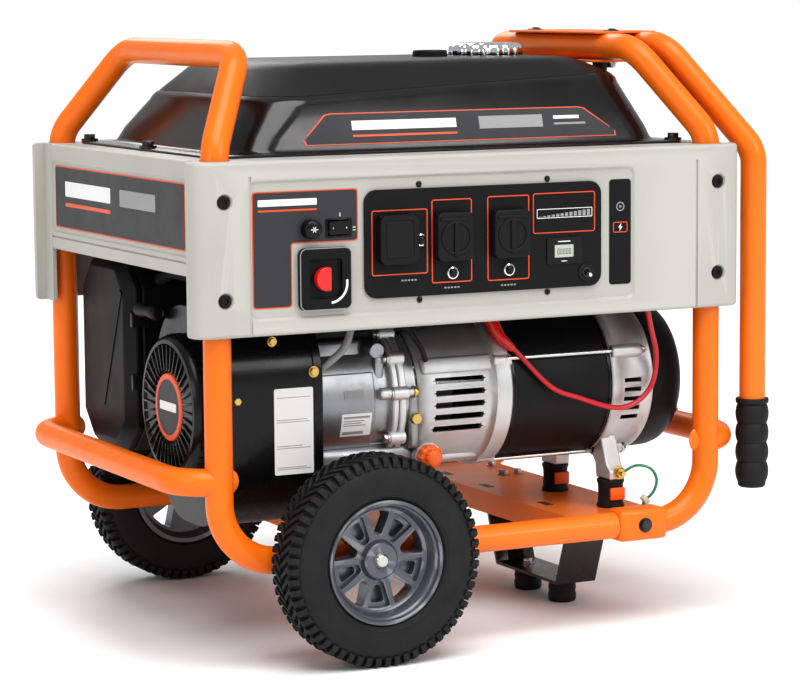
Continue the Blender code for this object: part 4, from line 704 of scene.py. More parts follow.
def make_clamps():
    """The plates that hold the handle against the right hoop, with their bolts, nuts and rubber stops."""
    near, far, half = 0.2416, 0.3304, 0.112
    top, bottom = 0.7062, 0.6710
    for name, low, high in (("top", top - 0.0028, top), ("bottom", bottom - 0.0025, bottom + 0.0005)):
        plate = piece(f"{name}_clamp", prism(rounded((near, -half), (far, half), 0.008), "Z", low, high),
                      "orange", replaces=[f"clamp_{name}_plate"])
        soften(plate, 0.0008, 2)
    head = [(0, 0.0033), (0.0040, 0.0031), (0.0065, 0.0022), (0.0080, 0.0010), (0.0098, 0.0008),
            (0.0098, -0.0005), (0, -0.0005)]
    stop = [(0, 0.6565), (0.0065, 0.6565), (0.0085, 0.6585), (0.0095, 0.6685), (0, 0.6685)]
    heads, nuts, stops = [], [], []
    for y in (-0.095, 0.095):
        heads += [turned(head, "Z", (0.274, y), 24, at=top), rod("Z", (0.274, y), 0.004, bottom, top, 12)]
        nuts += bolt("Z", (0.274, y), 0.011, bottom - 0.0025, -0.007)
        stops.append(turned(stop, "Z", (0.258, y), 20))
    piece("clamp_bolt_heads", heads, "black")
    piece("clamp_nuts", nuts, "steel")
    piece("clamp_stops", stops, "rubber")


# ---------------------------------------------------------------- covers
def cover_plan(side):
    """The cover seen from above: a round-cornered front, and pillars that step back to the side covers."""
    corners = rounded((-COVER_X, -COVER_Y), (COVER_X, COVER_Y), COVER_CORNER, 8)
    half = [point for point in corners if point[1] < 0]
    end, pillar, shelf, step = -0.216, -0.240, 0.290, -0.212
    plan = [(-SIDE_X, end), (-SIDE_X, pillar), (-COVER_X, pillar), *half, (COVER_X, pillar), (SIDE_X, pillar),
            (SIDE_X, end), (shelf, end), (shelf, step), (-shelf, step), (-shelf, end)]
    return [(x, -side * y) for x, y in plan]


def cover_hollow(side):
    """The cutter that leaves a cover one wall thick."""
    near, far, pillar, back = SIDE_X - COVER_WALL, COVER_X - COVER_WALL, -0.245, -0.108
    corners = rounded((-far, -COVER_Y + COVER_WALL), (far, COVER_Y - COVER_WALL), COVER_CORNER - COVER_WALL,
                      8)
    half = [point for point in corners if point[1] < pillar]
    plan = [(-near, back), (-near, pillar), *half, (near, pillar), (near, back)]
    return prism([(x, -side * y) for x, y in plan], "Z", COVER_LOW - 0.01, COVER_HIGH - COVER_WALL)


def ease(shape, wanted, width, segments=4):
    """Rounds the edges of a shape that a test picks out."""
    bmesh.ops.bevel(shape, geom=[edge for edge in shape.edges if wanted(*[v.co for v in edge.verts])],
                    offset=width, segments=segments, profile=0.5, affect="EDGES", clamp_overlap=False)
    return shape


def eased_cover(side):
    """The cover's solid with its top, bottom and pillar edges rounded."""
    shape = prism(cover_plan(side), "Z", COVER_LOW, COVER_HIGH)
    shape.verts.ensure_lookup_table()

    def outside(point):
        return abs(point.y) > 0.2405 or (abs(point.x) > 0.356 and abs(point.y) > 0.2395)

    def rim(a, b):
        return abs(a.z - b.z) < 0.0001 and outside(a) and outside(b)

    return ease(shape, rim, 0.0045)


def sunk_field(x0, x1, z0, z1, floor, face):
    """A cutter for a shallow field whose sides slope and round over."""
    out = math.copysign(0.012, face - floor)
    levels = ((floor, 0.0), (floor + (face - floor) * 0.25, 0.0008), (floor + (face - floor) * 0.75, 0.0024),
              (face + out * 0.02, 0.0042), (face + out, 0.0042))
    rings = []
    for y, grow in levels:
        plan = rounded((x0 - grow, z0 - grow), (x1 + grow, z1 + grow), 0.006 + grow, 5)
        rings.append([(x, y, z) for x, z in plan])
    return loft(rings)


def screw_seat(x, z, side):
    """The round pocket that a pillar screw sits in."""
    pocket = [(0, -0.0035), (0.0078, -0.0035), (0.0100, 0.0005), (0.0100, 0.01), (0, 0.01)]
    return turned(pocket, "Y", (x, z), 32, at=COVER_Y, side=side)


def make_cover(name, side):
    """The front or the back cover, hollowed and cut for the hoops, its screws, its field and the controls."""
    cover = piece(f"{name}_moulding", eased_cover(side), "grey",
                  replaces=[f"{name}_cover"])
    face = side * COVER_Y
    cutters = [cover_hollow(side)]
    for x in (-POST_X, POST_X):
        cutters.append(rod("Z", (x, side * POST_Y), TUBE + 0.0015, 0.560, 0.60, 40))
        cutters += [screw_seat(x, z, side) for z in SCREW_HEIGHTS]
    y0, y1 = sorted((face - side * 0.0012, face + side * 0.01))
    cutters += [block((x - 0.0016, y0, COVER_LOW - 0.01), (x + 0.0016, y1, 0.5560))
                for x in (-0.2900, 0.2900)]
    if side < 0:
        through = -0.28, -0.24
        cutters.append(sunk_field(-0.2880, 0.2013, 0.3985, 0.5485, FIELD_Y, -COVER_Y))
        for x0, x1, z0, z1 in ((-0.142, 0.1496, 0.4215, 0.528), ROCKER_HOLE):
            cutters.append(block((x0, through[0], z0), (x1, through[1], z1)))
        cutters.append(rod("Y", CHOKE, 0.005, *through, 20))
    else:
        cutters.append(sunk_field(-0.250, 0.250, 0.400, 0.548, -FIELD_Y, COVER_Y))
    carve(cover, cutters)
    soften(cover, 0.0012, 2, 50)
    level(cover)
    head = [(0, -0.0005), (0.0074, -0.0005), (0.0074, 0.0012), (0.0062, 0.0024), (0.0035, 0.0024),
            (0.0030, 0.0008), (0, 0.0008)]
    screws = [turned(head, "Y", (x, z), 28, at=COVER_Y - 0.0033, side=side)
              for x in (-POST_X, POST_X) for z in SCREW_HEIGHTS]
    piece(f"{name}_cover_screws", screws, "plastic")


def make_side_cover(name, side):
    """A cover between two pillars: a lip along its top, a groove along its foot, a sign on its face."""
    low, reach = 0.4434, 0.2157
    outline = [(SIDE_X, low), (SIDE_X, COVER_HIGH), (0.304, COVER_HIGH), (0.304, COVER_HIGH - COVER_WALL),
               (SIDE_X - COVER_WALL, COVER_HIGH - COVER_WALL), (SIDE_X - COVER_WALL, low)]
    shape = prism([(side * x, z) for x, z in outline], "Y", -reach, reach)

    def proud(a, b):
        return abs(a.z - b.z) < 0.0001 and min(abs(a.x), abs(b.x)) > SIDE_X - 0.0001 and abs(a.y - b.y) > 0.01

    ease(shape, proud, 0.0040)
    cover = piece(f"{name}_side_moulding", shape, "grey",
                  replaces=[f"{name}_side_cover"])
    floor = side * (SIDE_X - 0.002)
    x0, x1 = sorted((floor, side * (SIDE_X + 0.01)))
    carve(cover, [block((x0, -reach + 0.003, 0.466), (x1, reach - 0.003, 0.5520)),
                  block((x0, -reach - 0.01, 0.4585), (x1, reach + 0.01, 0.4605))])
    soften(cover, 0.0020, 3, 40)
    level(cover)
    sign_plate(f"{name}_side", floor, side, reach - 0.010, 0.4715, 0.5480)


def sign_plate(name, floor, side, half, z0, z1):
    """A charcoal sign with an orange border, and plain bars where the real one carries words."""
    def plate(y0, y1, low, high, thick, corner, steps=6):
        return prism(rounded((y0, low), (y1, high), corner, steps), "X", floor, floor + side * thick)

    line, height = 0.0018, z1 - z0
    piece(f"{name}_sign_border", plate(-half, half, z0, z1, 0.0004, 0.004), "line")
    piece(f"{name}_sign", plate(-half + line, half - line, z0 + line, z1 - line, 0.0007, 0.003), "decal")
    bars = ((-0.17, -0.02, 0.52, 0.76, "white"), (-0.17, -0.02, 0.36, 0.42, "line"),
            (0.01, 0.12, 0.50, 0.76, "mid"))
    for index, (start, end, low, high, finish) in enumerate(bars):
        y0, y1 = sorted((side * start, side * end))
        bar = plate(y0, y1, z0 + height * low, z0 + height * high, 0.0010, 0.0015, 3)
        piece(f"{name}_sign_bar_{index}", bar, finish)


# ---------------------------------------------------------------- control panel
def outline_frame(x0, x1, z0, z1, y, line=0.0013, corner=0.003, thick=0.0004):
    """A thin drawn frame on a plate: the border strip only."""
    outer = rounded((x0, z0), (x1, z1), corner)
    inner = rounded((x0 + line, z0 + line), (x1 - line, z1 - line), max(corner - line, 0.0006))
    shape = bmesh.new()
    rings = [[shape.verts.new((x, level, z)) for x, z in loop]
             for loop, level in ((outer, y), (outer, y - thick), (inner, y - thick), (inner, y))]
    count = len(outer)
    for first, second in zip(rings, rings[1:] + rings[:1]):
        for index in range(count):
            after = (index + 1) % count
            shape.faces.new((first[index], first[after], second[after], second[index]))
    return shape


def make_left_decal():
    """The charcoal field round the switches, L-shaped, with plain bars for its words."""
    y = FIELD_Y
    line = 0.0014
    x0, x1, x2 = -0.2870, -0.2390, -0.1570
    z0, z1, z2 = 0.4090, 0.4800, 0.5390
    outer = [(x0, z0), (x1, z0), (x1, z1), (x2, z1), (x2, z2), (x0, z2)]
    inner = [(x0 + line, z0 + line), (x1 - line, z0 + line), (x1 - line, z1 + line), (x2 - line, z1 + line),
             (x2 - line, z2 - line), (x0 + line, z2 - line)]
    for name, outline, thick, finish in (("border", outer, 0.0003, "line"),
                                         ("field", inner, 0.0006, "decal")):
        obj = piece(f"control_decal_{name}", prism(round_corners(outline, 0.0040), "Y", y - thick, y), finish)
        carve(obj, [block((-0.1964, y - 0.01, 0.486), (-0.1664, y + 0.01, 0.505)),
                    rod("Y", CHOKE, 0.0055, y - 0.01, y + 0.01, 20)])
    piece("control_decal_bar", slab(-0.2800, -0.2080, 0.5225, 0.5300, y, 0.0009, 0.0010, 3), "white")
    piece("control_decal_line", slab(-0.2800, -0.2080, 0.5165, 0.5185, y, 0.0009, 0.0005, 3), "line")
    marks = [slab(*box, y, 0.0009, 0.0003, 2)
             for box in ((-0.1800, -0.1790, 0.5080, 0.5125), (-0.1640, -0.1600, 0.4950, 0.4960),
                         (-0.1640, -0.1600, 0.4920, 0.4928))]
    piece("control_decal_marks", marks, "white")


def make_switches():
    """The ribbed choke knob, with a star on its face, and the rocker in its frame."""
    y = FIELD_Y
    face = y - 0.0133
    profile = [(0, -0.0133), (0.0080, -0.0133), (0.0098, -0.0125), (0.0108, -0.0110), (0.0115, -0.0030),
               (0.0112, -0.0008), (0.0035, -0.0008), (0.0035, 0.0297), (0, 0.0297)]
    piece("choke_pull_knob", turned(profile, "Y", CHOKE, 48, scallop=0.05, lobes=16, at=y), "gloss", "choke",
          ["choke_knob"], smooth=40)
    star = [around(slab(CHOKE[0] - half, CHOKE[0] + half, 0.4951, 0.4960, face + 0.0001, 0.0004, 0.0003, 2),
                   "Y", CHOKE, turn) for half, turn in ((0.0045, 0.0), (0.0035, 1.05), (0.0035, -1.05))]
    piece("choke_pull_mark", star, "white", "choke")
    bezel = piece("rocker_bezel", block((-0.1975, y - 0.0022, 0.4850), (-0.1653, y, 0.5060), 0.0008), "gloss")
    x0, x1, z0, z1 = ROCKER_HOLE
    carve(bezel, [block((x0, y - 0.01, z0), (x1, y + 0.01, z1))])
    half = 0.013
    x = -0.1814
    section = []
    for step in range(13):
        share = -1 + step / 6
        section.append((x + half * share, y - 0.0033 - 0.0022 * share * share))
    section += [(x + half * 0.8, y + 0.005), (x - half * 0.8, y + 0.005)]
    rocker = piece("engine_rocker", prism(section, "Z", 0.4880, 0.5030), "gloss", "rocker",
                   ["start_rocker"])
    soften(rocker, 0.0005, 2)
    near, far = y - 0.0048, y - 0.0040
    marks = [block((x - 0.0085, near, 0.4945), (x - 0.0080, far, 0.4965)),
             block((x + 0.0078, near, 0.4945), (x + 0.0088, far, 0.4965), 0.0001, 1)]
    piece("engine_rocker_marks", marks, "white", "rocker")


def arc_points(x, z, radius, first, last, steps):
    """Points on an arc in the plane of the panel, its angles in degrees."""
    angles = [math.radians(first + (last - first) * step / steps) for step in range(steps + 1)]
    return [(x + radius * math.cos(angle), z + radius * math.sin(angle)) for angle in angles]


def make_fuel_knob():
    """The red half-round knob in its pocket, and the arrow that shows which way it turns."""
    y = FIELD_Y - GAP
    x, z = -0.2004, 0.4395
    low, high = (x - 0.032, z - 0.035), (x + 0.032, z + 0.035)
    bezel = piece("fuel_valve_bezel", prism(rounded(low, high, 0.008), "Y", y - 0.007, y), "decal_black",
                  replaces=["fuel_knob_bezel"])
    carve(bezel, [prism(rounded((x - 0.020, z - 0.022), (x + 0.020, z + 0.022), 0.003), "Y", y - 0.02,
                        y - 0.002)])
    soften(bezel, 0.0010, 3)
    rim = outline_frame(low[0], high[0], low[1], high[1], y - 0.0069, 0.0011, 0.008, 0.0003)
    piece("fuel_valve_rim", rim, "mid")
    floor = y - 0.002
    knob = piece("fuel_valve_knob_cap",
                 prism(arc_points(x, z, 0.0135, 70, 290, 24), "Y", floor - 0.0103, floor - GAP), "red",
                 "fuel_valve_knob", ["fuel_knob"])
    soften(knob, 0.0012, 3)
    outside, inside = (arc_points(x + 0.0045, z - 0.0055, radius, -85, 10, 14) for radius in (0.0228, 0.0202))
    piece("fuel_valve_arrow", prism(outside + inside[::-1], "Y", y - 0.0073, y - 0.0066), "white")


def make_outlets():
    """The socket plate with its three wells, the frames printed round them, and its screws."""
    back = FIELD_Y - GAP
    plate = piece("outlet_plate",
                  prism(rounded((-0.150, 0.4135), (0.1576, 0.536), 0.015, 8), "Y", PANEL_Y, back),
                  "decal_black", replaces=["outlet_panel"])
    carve(plate, [rod("Y", (x, SOCKET_Z), 0.0225, PANEL_Y + GAP, back + 0.01, 40) for x in SOCKETS]
          + [rod("Y", (x, SOCKET_Z), SOCKET_R, PANEL_Y - 0.01, back + 0.01, 40) for x in SOCKETS])
    soften(plate, 0.0010, 2)
    floor = PANEL_Y + 0.017
    well = [(0, floor), (SOCKET_R, floor), (SOCKET_R, PANEL_Y + 0.0002), (0.0222, PANEL_Y + 0.0005),
            (0.0222, floor + 0.003), (0, floor + 0.003)]
    hole = [(0.0024, -0.0004), (0.0036, -0.0004), (0.0036, 0), (0.0024, 0)]
    wells, contacts = [], []
    for x in SOCKETS:
        wells.append(turned(well, "Y", (x, SOCKET_Z), 40))
        wells += [turned(hole, "Y", (x + shift, SOCKET_Z), 16, ring=True, at=floor)
                  for shift in (-0.0095, 0.0095)]
    for low, high in ((0.0150, 0.0188), (-0.0188, -0.0150)):
        contacts += [block((x - 0.002, floor - 0.0060, SOCKET_Z + low), (x + 0.002, floor, SOCKET_Z + high),
                           0.0004) for x in SOCKETS]
    piece("socket_wells", wells, "plastic")
    piece("socket_earth_contacts", contacts, "brass")
    frames = [outline_frame(*box, PANEL_Y) for box in
              ((-0.142, -0.0710, 0.4390, 0.5130), (-0.0660, -0.0140, 0.4270, 0.5225),
               (0.0060, 0.0610, 0.4260, 0.5235), (0.0660, 0.1490, 0.4775, 0.5245))]
    piece("outlet_frames", frames, "line")
    dashes = [slab(x - 0.010 + k * 0.0042, x - 0.0072 + k * 0.0042, z, z + 0.0018, PANEL_Y, 0.0004, 0.0003, 2)
              for x, z in ((-0.095, 0.4315), (-0.040, 0.4205), (0.0335, 0.4195)) for k in range(5)]
    piece("outlet_dashes", dashes, "mid")
    head = [(0, -0.0016), (0.0024, -0.0016), (0.0036, -0.0008), (0.0036, 0), (0, 0)]
    screws = [turned(head, "Y", (x, z), 20, at=FIELD_Y) for x in (-0.080, 0.087) for z in (0.5405, 0.4090)]
    piece("outlet_screws", screws, "gloss")


def make_lids():
    """A flap over each socket on its own hinge: the square one with a sunk face, the others with ribs."""
    back, top, height = PANEL_Y - GAP, 0.508, 0.056
    for name, x in zip(("square", "left", "right"), SOCKETS):
        body = f"{name}_lid"
        square = name == "square"
        half = 0.0240 if square else 0.0235
        # the square flap's top edge stays clear of the printed frame as it swings past level
        edge = top - 0.0006 if square else top

        def inner(margin, corner, front, behind):
            outline = rounded((x - half + margin, top - height + margin), (x + half - margin, top - margin),
                              corner, 6)
            return prism(outline, "Y", back - front, back - behind)

        lid = piece(f"{name}_flap",
                    prism(rounded((x - half, top - height), (x + half, edge), 0.008, 6), "Y", back - 0.0120,
                          back), "plastic", body, [f"{name}_socket_lid"])
        if square:
            carve(lid, [inner(0.006, 0.005, 0.014, 0.0112)])
            soften(lid, 0.0018, 3)
            face = piece(f"{name}_flap_face", inner(0.0075, 0.004, 0.0118, 0.0100), "gloss", body)
            soften(face, 0.0006, 2)
        else:
            soften(lid, 0.0022, 3)
            ring = [(0.0165, -0.0130), (0.0180, -0.0135), (0.0195, -0.0130), (0.0195, -0.0110),
                    (0.0165, -0.0110)]
            ribs = [block((x - 0.0035, back - 0.0140, top - height + 0.006),
                          (x + 0.0035, back - 0.0100, top - 0.010), 0.0012),
                    block((x - 0.0205, back - 0.0135, top - 0.0100),
                          (x + 0.0205, back - 0.0100, top - 0.0060), 0.0010),
                    turned(ring, "Y", (x, top - height / 2 - 0.001), 40, ring=True, at=back)]
            piece(f"{name}_flap_ribs", ribs, "plastic", body)
        barrels = [rod("X", (back - 0.0022, top - 0.0024), 0.0022, x + start, x + end, 14)
                   for start, end in ((-0.021, -0.006), (0.006, 0.021))]
        piece(f"{name}_hinge_barrels", barrels, "gloss", body)


def make_breakers():
    """Three push buttons, each in a bright collar."""
    front, behind = PANEL_Y - 0.006, FIELD_Y + GAP
    button = [(0, front), (0.0030, front), (0.0042, front + 0.0008), (0.0044, front + 0.002),
              (0.0044, behind), (0.0065, behind), (0.0065, behind + 0.0015), (0.0035, behind + 0.0015),
              (0.0035, behind + 0.008), (0, behind + 0.008)]
    collar = [(0.0048, 0), (0.0048, -0.0028), (0.0056, -0.0034), (0.0070, -0.0028), (0.0078, -0.0010),
              (0.0078, 0)]
    for number, centre in enumerate(((-0.0805, 0.4776), (-0.040, 0.438), (0.0335, 0.438)), start=1):
        piece(f"breaker_{number}_cap", turned(button, "Y", centre, 32), "gloss", f"breaker_{number}",
              [f"breaker_button_{number}"])
        piece(f"breaker_{number}_collar", turned(collar, "Y", centre, 32, ring=True, at=PANEL_Y), "chrome")


def make_meters():
    """The load display, the hour meter, and the idle toggle: a chromed bat in a hexagon nut."""
    y = PANEL_Y
    plate = piece("load_display", slab(0.068, 0.147, 0.4795, 0.5225, y, 0.0013, 0.002), "decal_black")
    soften(plate, 0.0004, 2)
    face = y - 0.0013
    piece("load_display_frame", outline_frame(0.0705, 0.1445, 0.4950, 0.5060, face, 0.0008, 0.001, 0.0003),
          "white")
    bars = []
    for k in range(12):
        start = 0.0725 + k * 0.0059
        bars.append(slab(start, start + 0.0042, 0.4965, 0.4972 + 0.0006 * k, face, 0.0003, 0.0002, 2))
    piece("load_display_bars", bars, "mid")
    bezel = piece("hour_meter_bezel", slab(0.084, 0.1305, 0.441, 0.472, y, 0.0016, 0.003), "gloss")
    soften(bezel, 0.0005, 2)
    face = y - 0.0015
    piece("hour_meter_window", slab(0.0940, 0.1190, 0.4490, 0.4635, face, 0.0005, 0.001, 3), "lcd")
    digits = [outline_frame(x, x + 0.0026, 0.4525, 0.4590, y - 0.0019, 0.0005, 0.0005, 0.0002)
              for x in (0.0975 + k * 0.0039 for k in range(5))]
    piece("hour_meter_digits", digits, "decal_black")
    piece("hour_meter_marks", [slab(0.0985, 0.1150, 0.4668, 0.4680, face, 0.0003, 0.0004, 2),
                               slab(0.1030, 0.1105, 0.4440, 0.4450, face, 0.0003, 0.0004, 2)], "white")
    x, z, pivot = 0.137, 0.430, FIELD_Y - GAP - 0.00175
    bat = turned([(0, -0.0135), (0.0018, -0.0133), (0.0027, -0.0120), (0.0027, -0.0105), (0.0017, -0.0030),
                  (0.0017, 0.006), (0, 0.006)], "Y", (0, 0), 24)
    leaning = Matrix.Translation((x, pivot, z)) @ Matrix.Rotation(math.radians(12), 4, "X")
    piece("idle_bat", moved(bat, leaning), "chrome", "toggle", ["idle_toggle"])
    nut = [(0.0044, 0), (0.0044, -0.0020), (0.0062, -0.0020), (0.0066, -0.0010), (0.0066, 0)]
    piece("idle_nut", turned(nut, "Y", (x, z), 6, ring=True, at=y), "iron")
    boss = [(0.0062, 0), (0.0062, -0.0012), (0.0105, -0.0012), (0.0110, -0.0004), (0.0110, 0)]
    piece("idle_boss", turned(boss, "Y", (x, z), 32, ring=True, at=y), "gloss")


def make_strip():
    """The black strip right of the outlets, with a ring and a plain orange box."""
    y = FIELD_Y
    strip = piece("symbol_strip", slab(0.1705, 0.2000, 0.4130, 0.5365, y, 0.0008, 0.004), "decal_black")
    soften(strip, 0.0003, 1)
    low, high = y - 0.0011, y - 0.0006
    centre = (0.1853, 0.5045)
    ring = turned([(0.0042, low), (0.0055, low), (0.0055, high), (0.0042, high)], "Y", centre, 32, ring=True)
    piece("symbol_ring", [ring, rod("Y", centre, 0.0016, low, high, 16)], "mid")
    piece("symbol_box", outline_frame(0.1755, 0.1950, 0.4740, 0.4865, y - 0.0007, 0.0010, 0.002, 0.0004),
          "line")
    flash = [(0.1865, 0.4850), (0.1825, 0.4798), (0.1848, 0.4798), (0.1840, 0.4755), (0.1882, 0.4810),
             (0.1858, 0.4810)]
    piece("symbol_flash", prism(flash, "Y", low, high), "white")


# ---------------------------------------------------------------- fuel tank
def crease_height(x):
    """The tank's front crease climbs at its right end."""
    share = min(1.0, max(0.0, (x - 0.100) / 0.108))
    return share * share * (3 - 2 * share)


def tank_ring(half_x, half_y, z, shift, corner, climb=0.0):
    """A level round the tank, which climbs at its right end if asked to."""
    points = []
    for x, y in rounded((-half_x, -half_y), (half_x, half_y), corner, 10):
        lift = climb * crease_height(x)
        points.append((x + shift, y * (1 - 0.10 * lift / 0.019 if climb else 1), z + lift))
    return points


def make_tank():
    """The tank's skin, lofted through levels: sump, flange, lower slope, crease, upper slope and top."""
    low = FLANGE_Z
    lower = [tank_ring(*level)
             for level in ((0.243, 0.173, 0.505, 0, 0.042), (0.255, 0.185, 0.517, 0, 0.042),
                           (0.255, 0.185, low - 0.0029, 0, 0.042), (0.3085, 0.2130, low - 0.0029, 0, 0.020),
                           (0.3100, 0.2145, low - 0.0022, 0, 0.021), (0.3100, 0.2145, low - 0.0008, 0, 0.021),
                           (0.3085, 0.2130, low, 0, 0.020), (0.2880, 0.2040, low, 0.005, 0.050),
                           (0.2840, 0.2010, low + 0.0012, 0.005, 0.050),
                           (0.2815, 0.1995, low + 0.005, 0.005, 0.050),
                           (0.2760, 0.1972, low + 0.0170, 0.006, 0.052),
                           (0.2520, 0.1865, 0.6280, 0.0100, 0.058, 0.017),
                           (0.2500, 0.1850, 0.6325, 0.0105, 0.058, 0.019),
                           (0.2470, 0.1815, 0.6365, 0.0105, 0.058, 0.019))]
    upper = [tank_ring(*level) for level in (
        (0.2430, 0.1765, 0.6395, 0.0105, 0.058, 0.019), (0.2200, 0.1400, 0.6670, 0.0102, 0.056, 0.004),
        (0.2150, 0.1335, 0.6712, 0.0100, 0.054, 0.002), (0.2095, 0.1270, 0.6745, 0.0100, 0.052, 0.001),
        (0.2030, 0.1200, 0.6763, 0.0100, 0.050), (0.1950, 0.1120, 0.6770, 0.0100, 0.046))]
    piece("tank_shell", loft(lower + upper), "tank", replaces=["fuel_tank"], smooth=42)
    skin, middle = 0.0002, 0.01
    grain = [[(x + (math.copysign(skin, x - middle) if abs(x) > 1e-9 else 0.0), y + math.copysign(skin, y),
               z + skin) for x, y, z in ring] for ring in upper]
    piece("tank_textured_top", loft(grain, caps=False), "tank_rough", smooth=42)
    top = prism([(x, y) for x, y, z in tank_ring(0.1952, 0.1122, 0, 0.0100, 0.046)], "Z", 0.6768, 0.6772)
    piece("tank_top_plate", top, "tank_rough")
    bolts = []
    for x, y in ((-0.299, -0.198), (-0.299, 0.198), (0.299, -0.198), (0.299, 0.198), (-0.302, 0.0),
                 (0.302, 0.0)):
        bolts += bolt("Z", (x, y), 0.013, low, 0.008)
        bolts.append(rod("Z", (x, y), 0.0105, low, low + 0.0025, 24))
    piece("tank_bolts", bolts, "black")
    make_tank_decal()
    make_cap()


def on_slope(x, share, lift):
    """A point on the tank's lower front face: share 0 at the flange, 1 at the crease."""
    y = -0.1988 + 0.0132 * share
    z = 0.5825 + 0.0480 * share
    normal = Vector((0.0, -0.0480, 0.0132)).normalized()
    return Vector((x, y - 0.0003, z)) + normal * lift


def slope_plate(outline, lift, thick):
    """A plate of (x, share) corners that lies on the tank's lower front face."""
    lower, upper = ([on_slope(x, share, height) for x, share in outline] for height in (lift, lift + thick))
    return loft([lower, upper])


def make_tank_decal():
    outer = [(-0.1900, 0.03), (0.2180, 0.03), (0.2180, 0.16), (0.1790, 0.735), (0.1700, 0.77),
             (-0.1560, 0.77), (-0.1640, 0.735), (-0.1930, 0.16)]
    inner = [(-0.1880, 0.055), (0.2160, 0.055), (0.2160, 0.165), (0.1775, 0.715), (0.1690, 0.745),
             (-0.1545, 0.745), (-0.1620, 0.715), (-0.1908, 0.165)]
    lift = 0.0004
    piece("tank_sign_border", slope_plate(outer, lift, 0.0005), "line")
    piece("tank_sign", slope_plate(inner, lift, 0.0008), "decal")
    bars = (("a", -0.130, 0.005, 0.36, 0.58, "white"), ("b", -0.130, 0.005, 0.20, 0.25, "line"),
            ("c", 0.035, 0.120, 0.30, 0.60, "mid"), ("d", 0.135, 0.170, 0.48, 0.56, "white"),
            ("e", 0.135, 0.178, 0.34, 0.39, "mid"))
    for name, x0, x1, low, high, finish in bars:
        bar = slope_plate([(x0, low), (x1, low), (x1, high), (x0, high)], lift, 0.0011)
        piece(f"tank_sign_bar_{name}", bar, finish)


def make_cap():
    """The scalloped filler cap on its collar, and the fuel gauge beside it."""
    base, cap, gauge = 0.6773, (0.150, 0), (0.072, 0)
    lobes = [(0, 0.0155), (0.0300, 0.0158), (0.0400, 0.0150), (0.0440, 0.0128), (0.0462, 0.0100),
             (0.0470, 0.0060), (0.0470, 0.0012), (0.0455, 0), (0.0290, 0), (0.0290, -0.0097), (0, -0.0097)]
    piece("cap_scalloped", turned(lobes, "Z", cap, 144, scallop=0.06, lobes=18, at=base), "chrome",
          "fuel_cap", ["fuel_cap"], smooth=50)
    disc = [(0, 0.0160), (0.0235, 0.0160), (0.0250, 0.0156), (0.0250, 0.0150), (0, 0.0150)]
    piece("cap_top_disc", turned(disc, "Z", cap, 48, at=base), "steel", "fuel_cap")
    collar = [(0.0305, -0.0003), (0.0560, -0.0003), (0.0540, 0.0004), (0.0480, 0.0010), (0.0475, 0.0010),
              (0.0475, -0.0001), (0.0305, -0.0001)]
    piece("filler_collar", turned(collar, "Z", cap, 48, ring=True, at=base), "black")
    ring = [(0.0155, 0.0075), (0.0200, 0.0075), (0.0212, 0.0060), (0.0215, 0), (0.0155, 0)]
    piece("gauge_ring", turned(ring, "Z", gauge, 40, ring=True, at=base), "plastic")
    glass = [(0, 0.0062), (0.0150, 0.0058), (0.0156, 0.0045), (0, 0.0045)]
    piece("gauge_glass", turned(glass, "Z", gauge, 32, at=base), "lcd")
    x = gauge[0]
    piece("gauge_needle", [block((x - 0.0005, -0.002, base + 0.0062), (x + 0.0005, 0.011, base + 0.0068))],
          "red")


# ---------------------------------------------------------------- engine
def make_blower():
    """The fan shell and its raised rim, a blank label and its screws."""
    start, end = -0.300, -0.1783

    def outline(grow, corner):
        return rounded((-0.212 - grow, 0.146 - grow), (-0.008 + grow, 0.400 + grow), corner, 14)

    housing = piece("blower_shell", prism(outline(0.0, 0.085), "X", start, end), "gloss",
                    replaces=["blower_housing"])
    carve(housing, [prism(outline(-0.003, 0.082), "X", start + 0.003, end + 0.01),
                    rod("X", SHAFT, 0.064, start - 0.01, start + 0.006, 48)])
    soften(housing, 0.006, 4, 40)
    rim = piece("blower_rim", prism(outline(0.0012, 0.086), "X", end - 0.012, end - GAP), "gloss")
    carve(rim, [prism(outline(-0.004, 0.081), "X", end - 0.02, end + 0.01)])
    soften(rim, 0.0015, 2)
    front = -0.212
    piece("blank_label", slab(-0.2400, -0.1912, 0.2120, 0.3110, front, 0.0005, 0.002, 3), "white")
    rows = ((0.2180, -0.1945), (0.2200, -0.2000), (0.2420, -0.1945), (0.2445, -0.2050), (0.2720, -0.1960),
            (0.2745, -0.1990), (0.3000, -0.1945))
    lines = [slab(-0.2370, stop, z, z + 0.0007, front - 0.0005, 0.0002, 0.0002, 2) for z, stop in rows]
    piece("blank_label_lines", lines, "mid")
    piece("blower_screws", bolt("Y", (-0.190, 0.328), 0.009, front, -0.004)
          + bolt("Y", (-0.240, 0.365), 0.008, front + 0.004, -0.005)
          + bolt("Y", (-0.285, 0.300), 0.008, front + 0.002, -0.004), "brass")


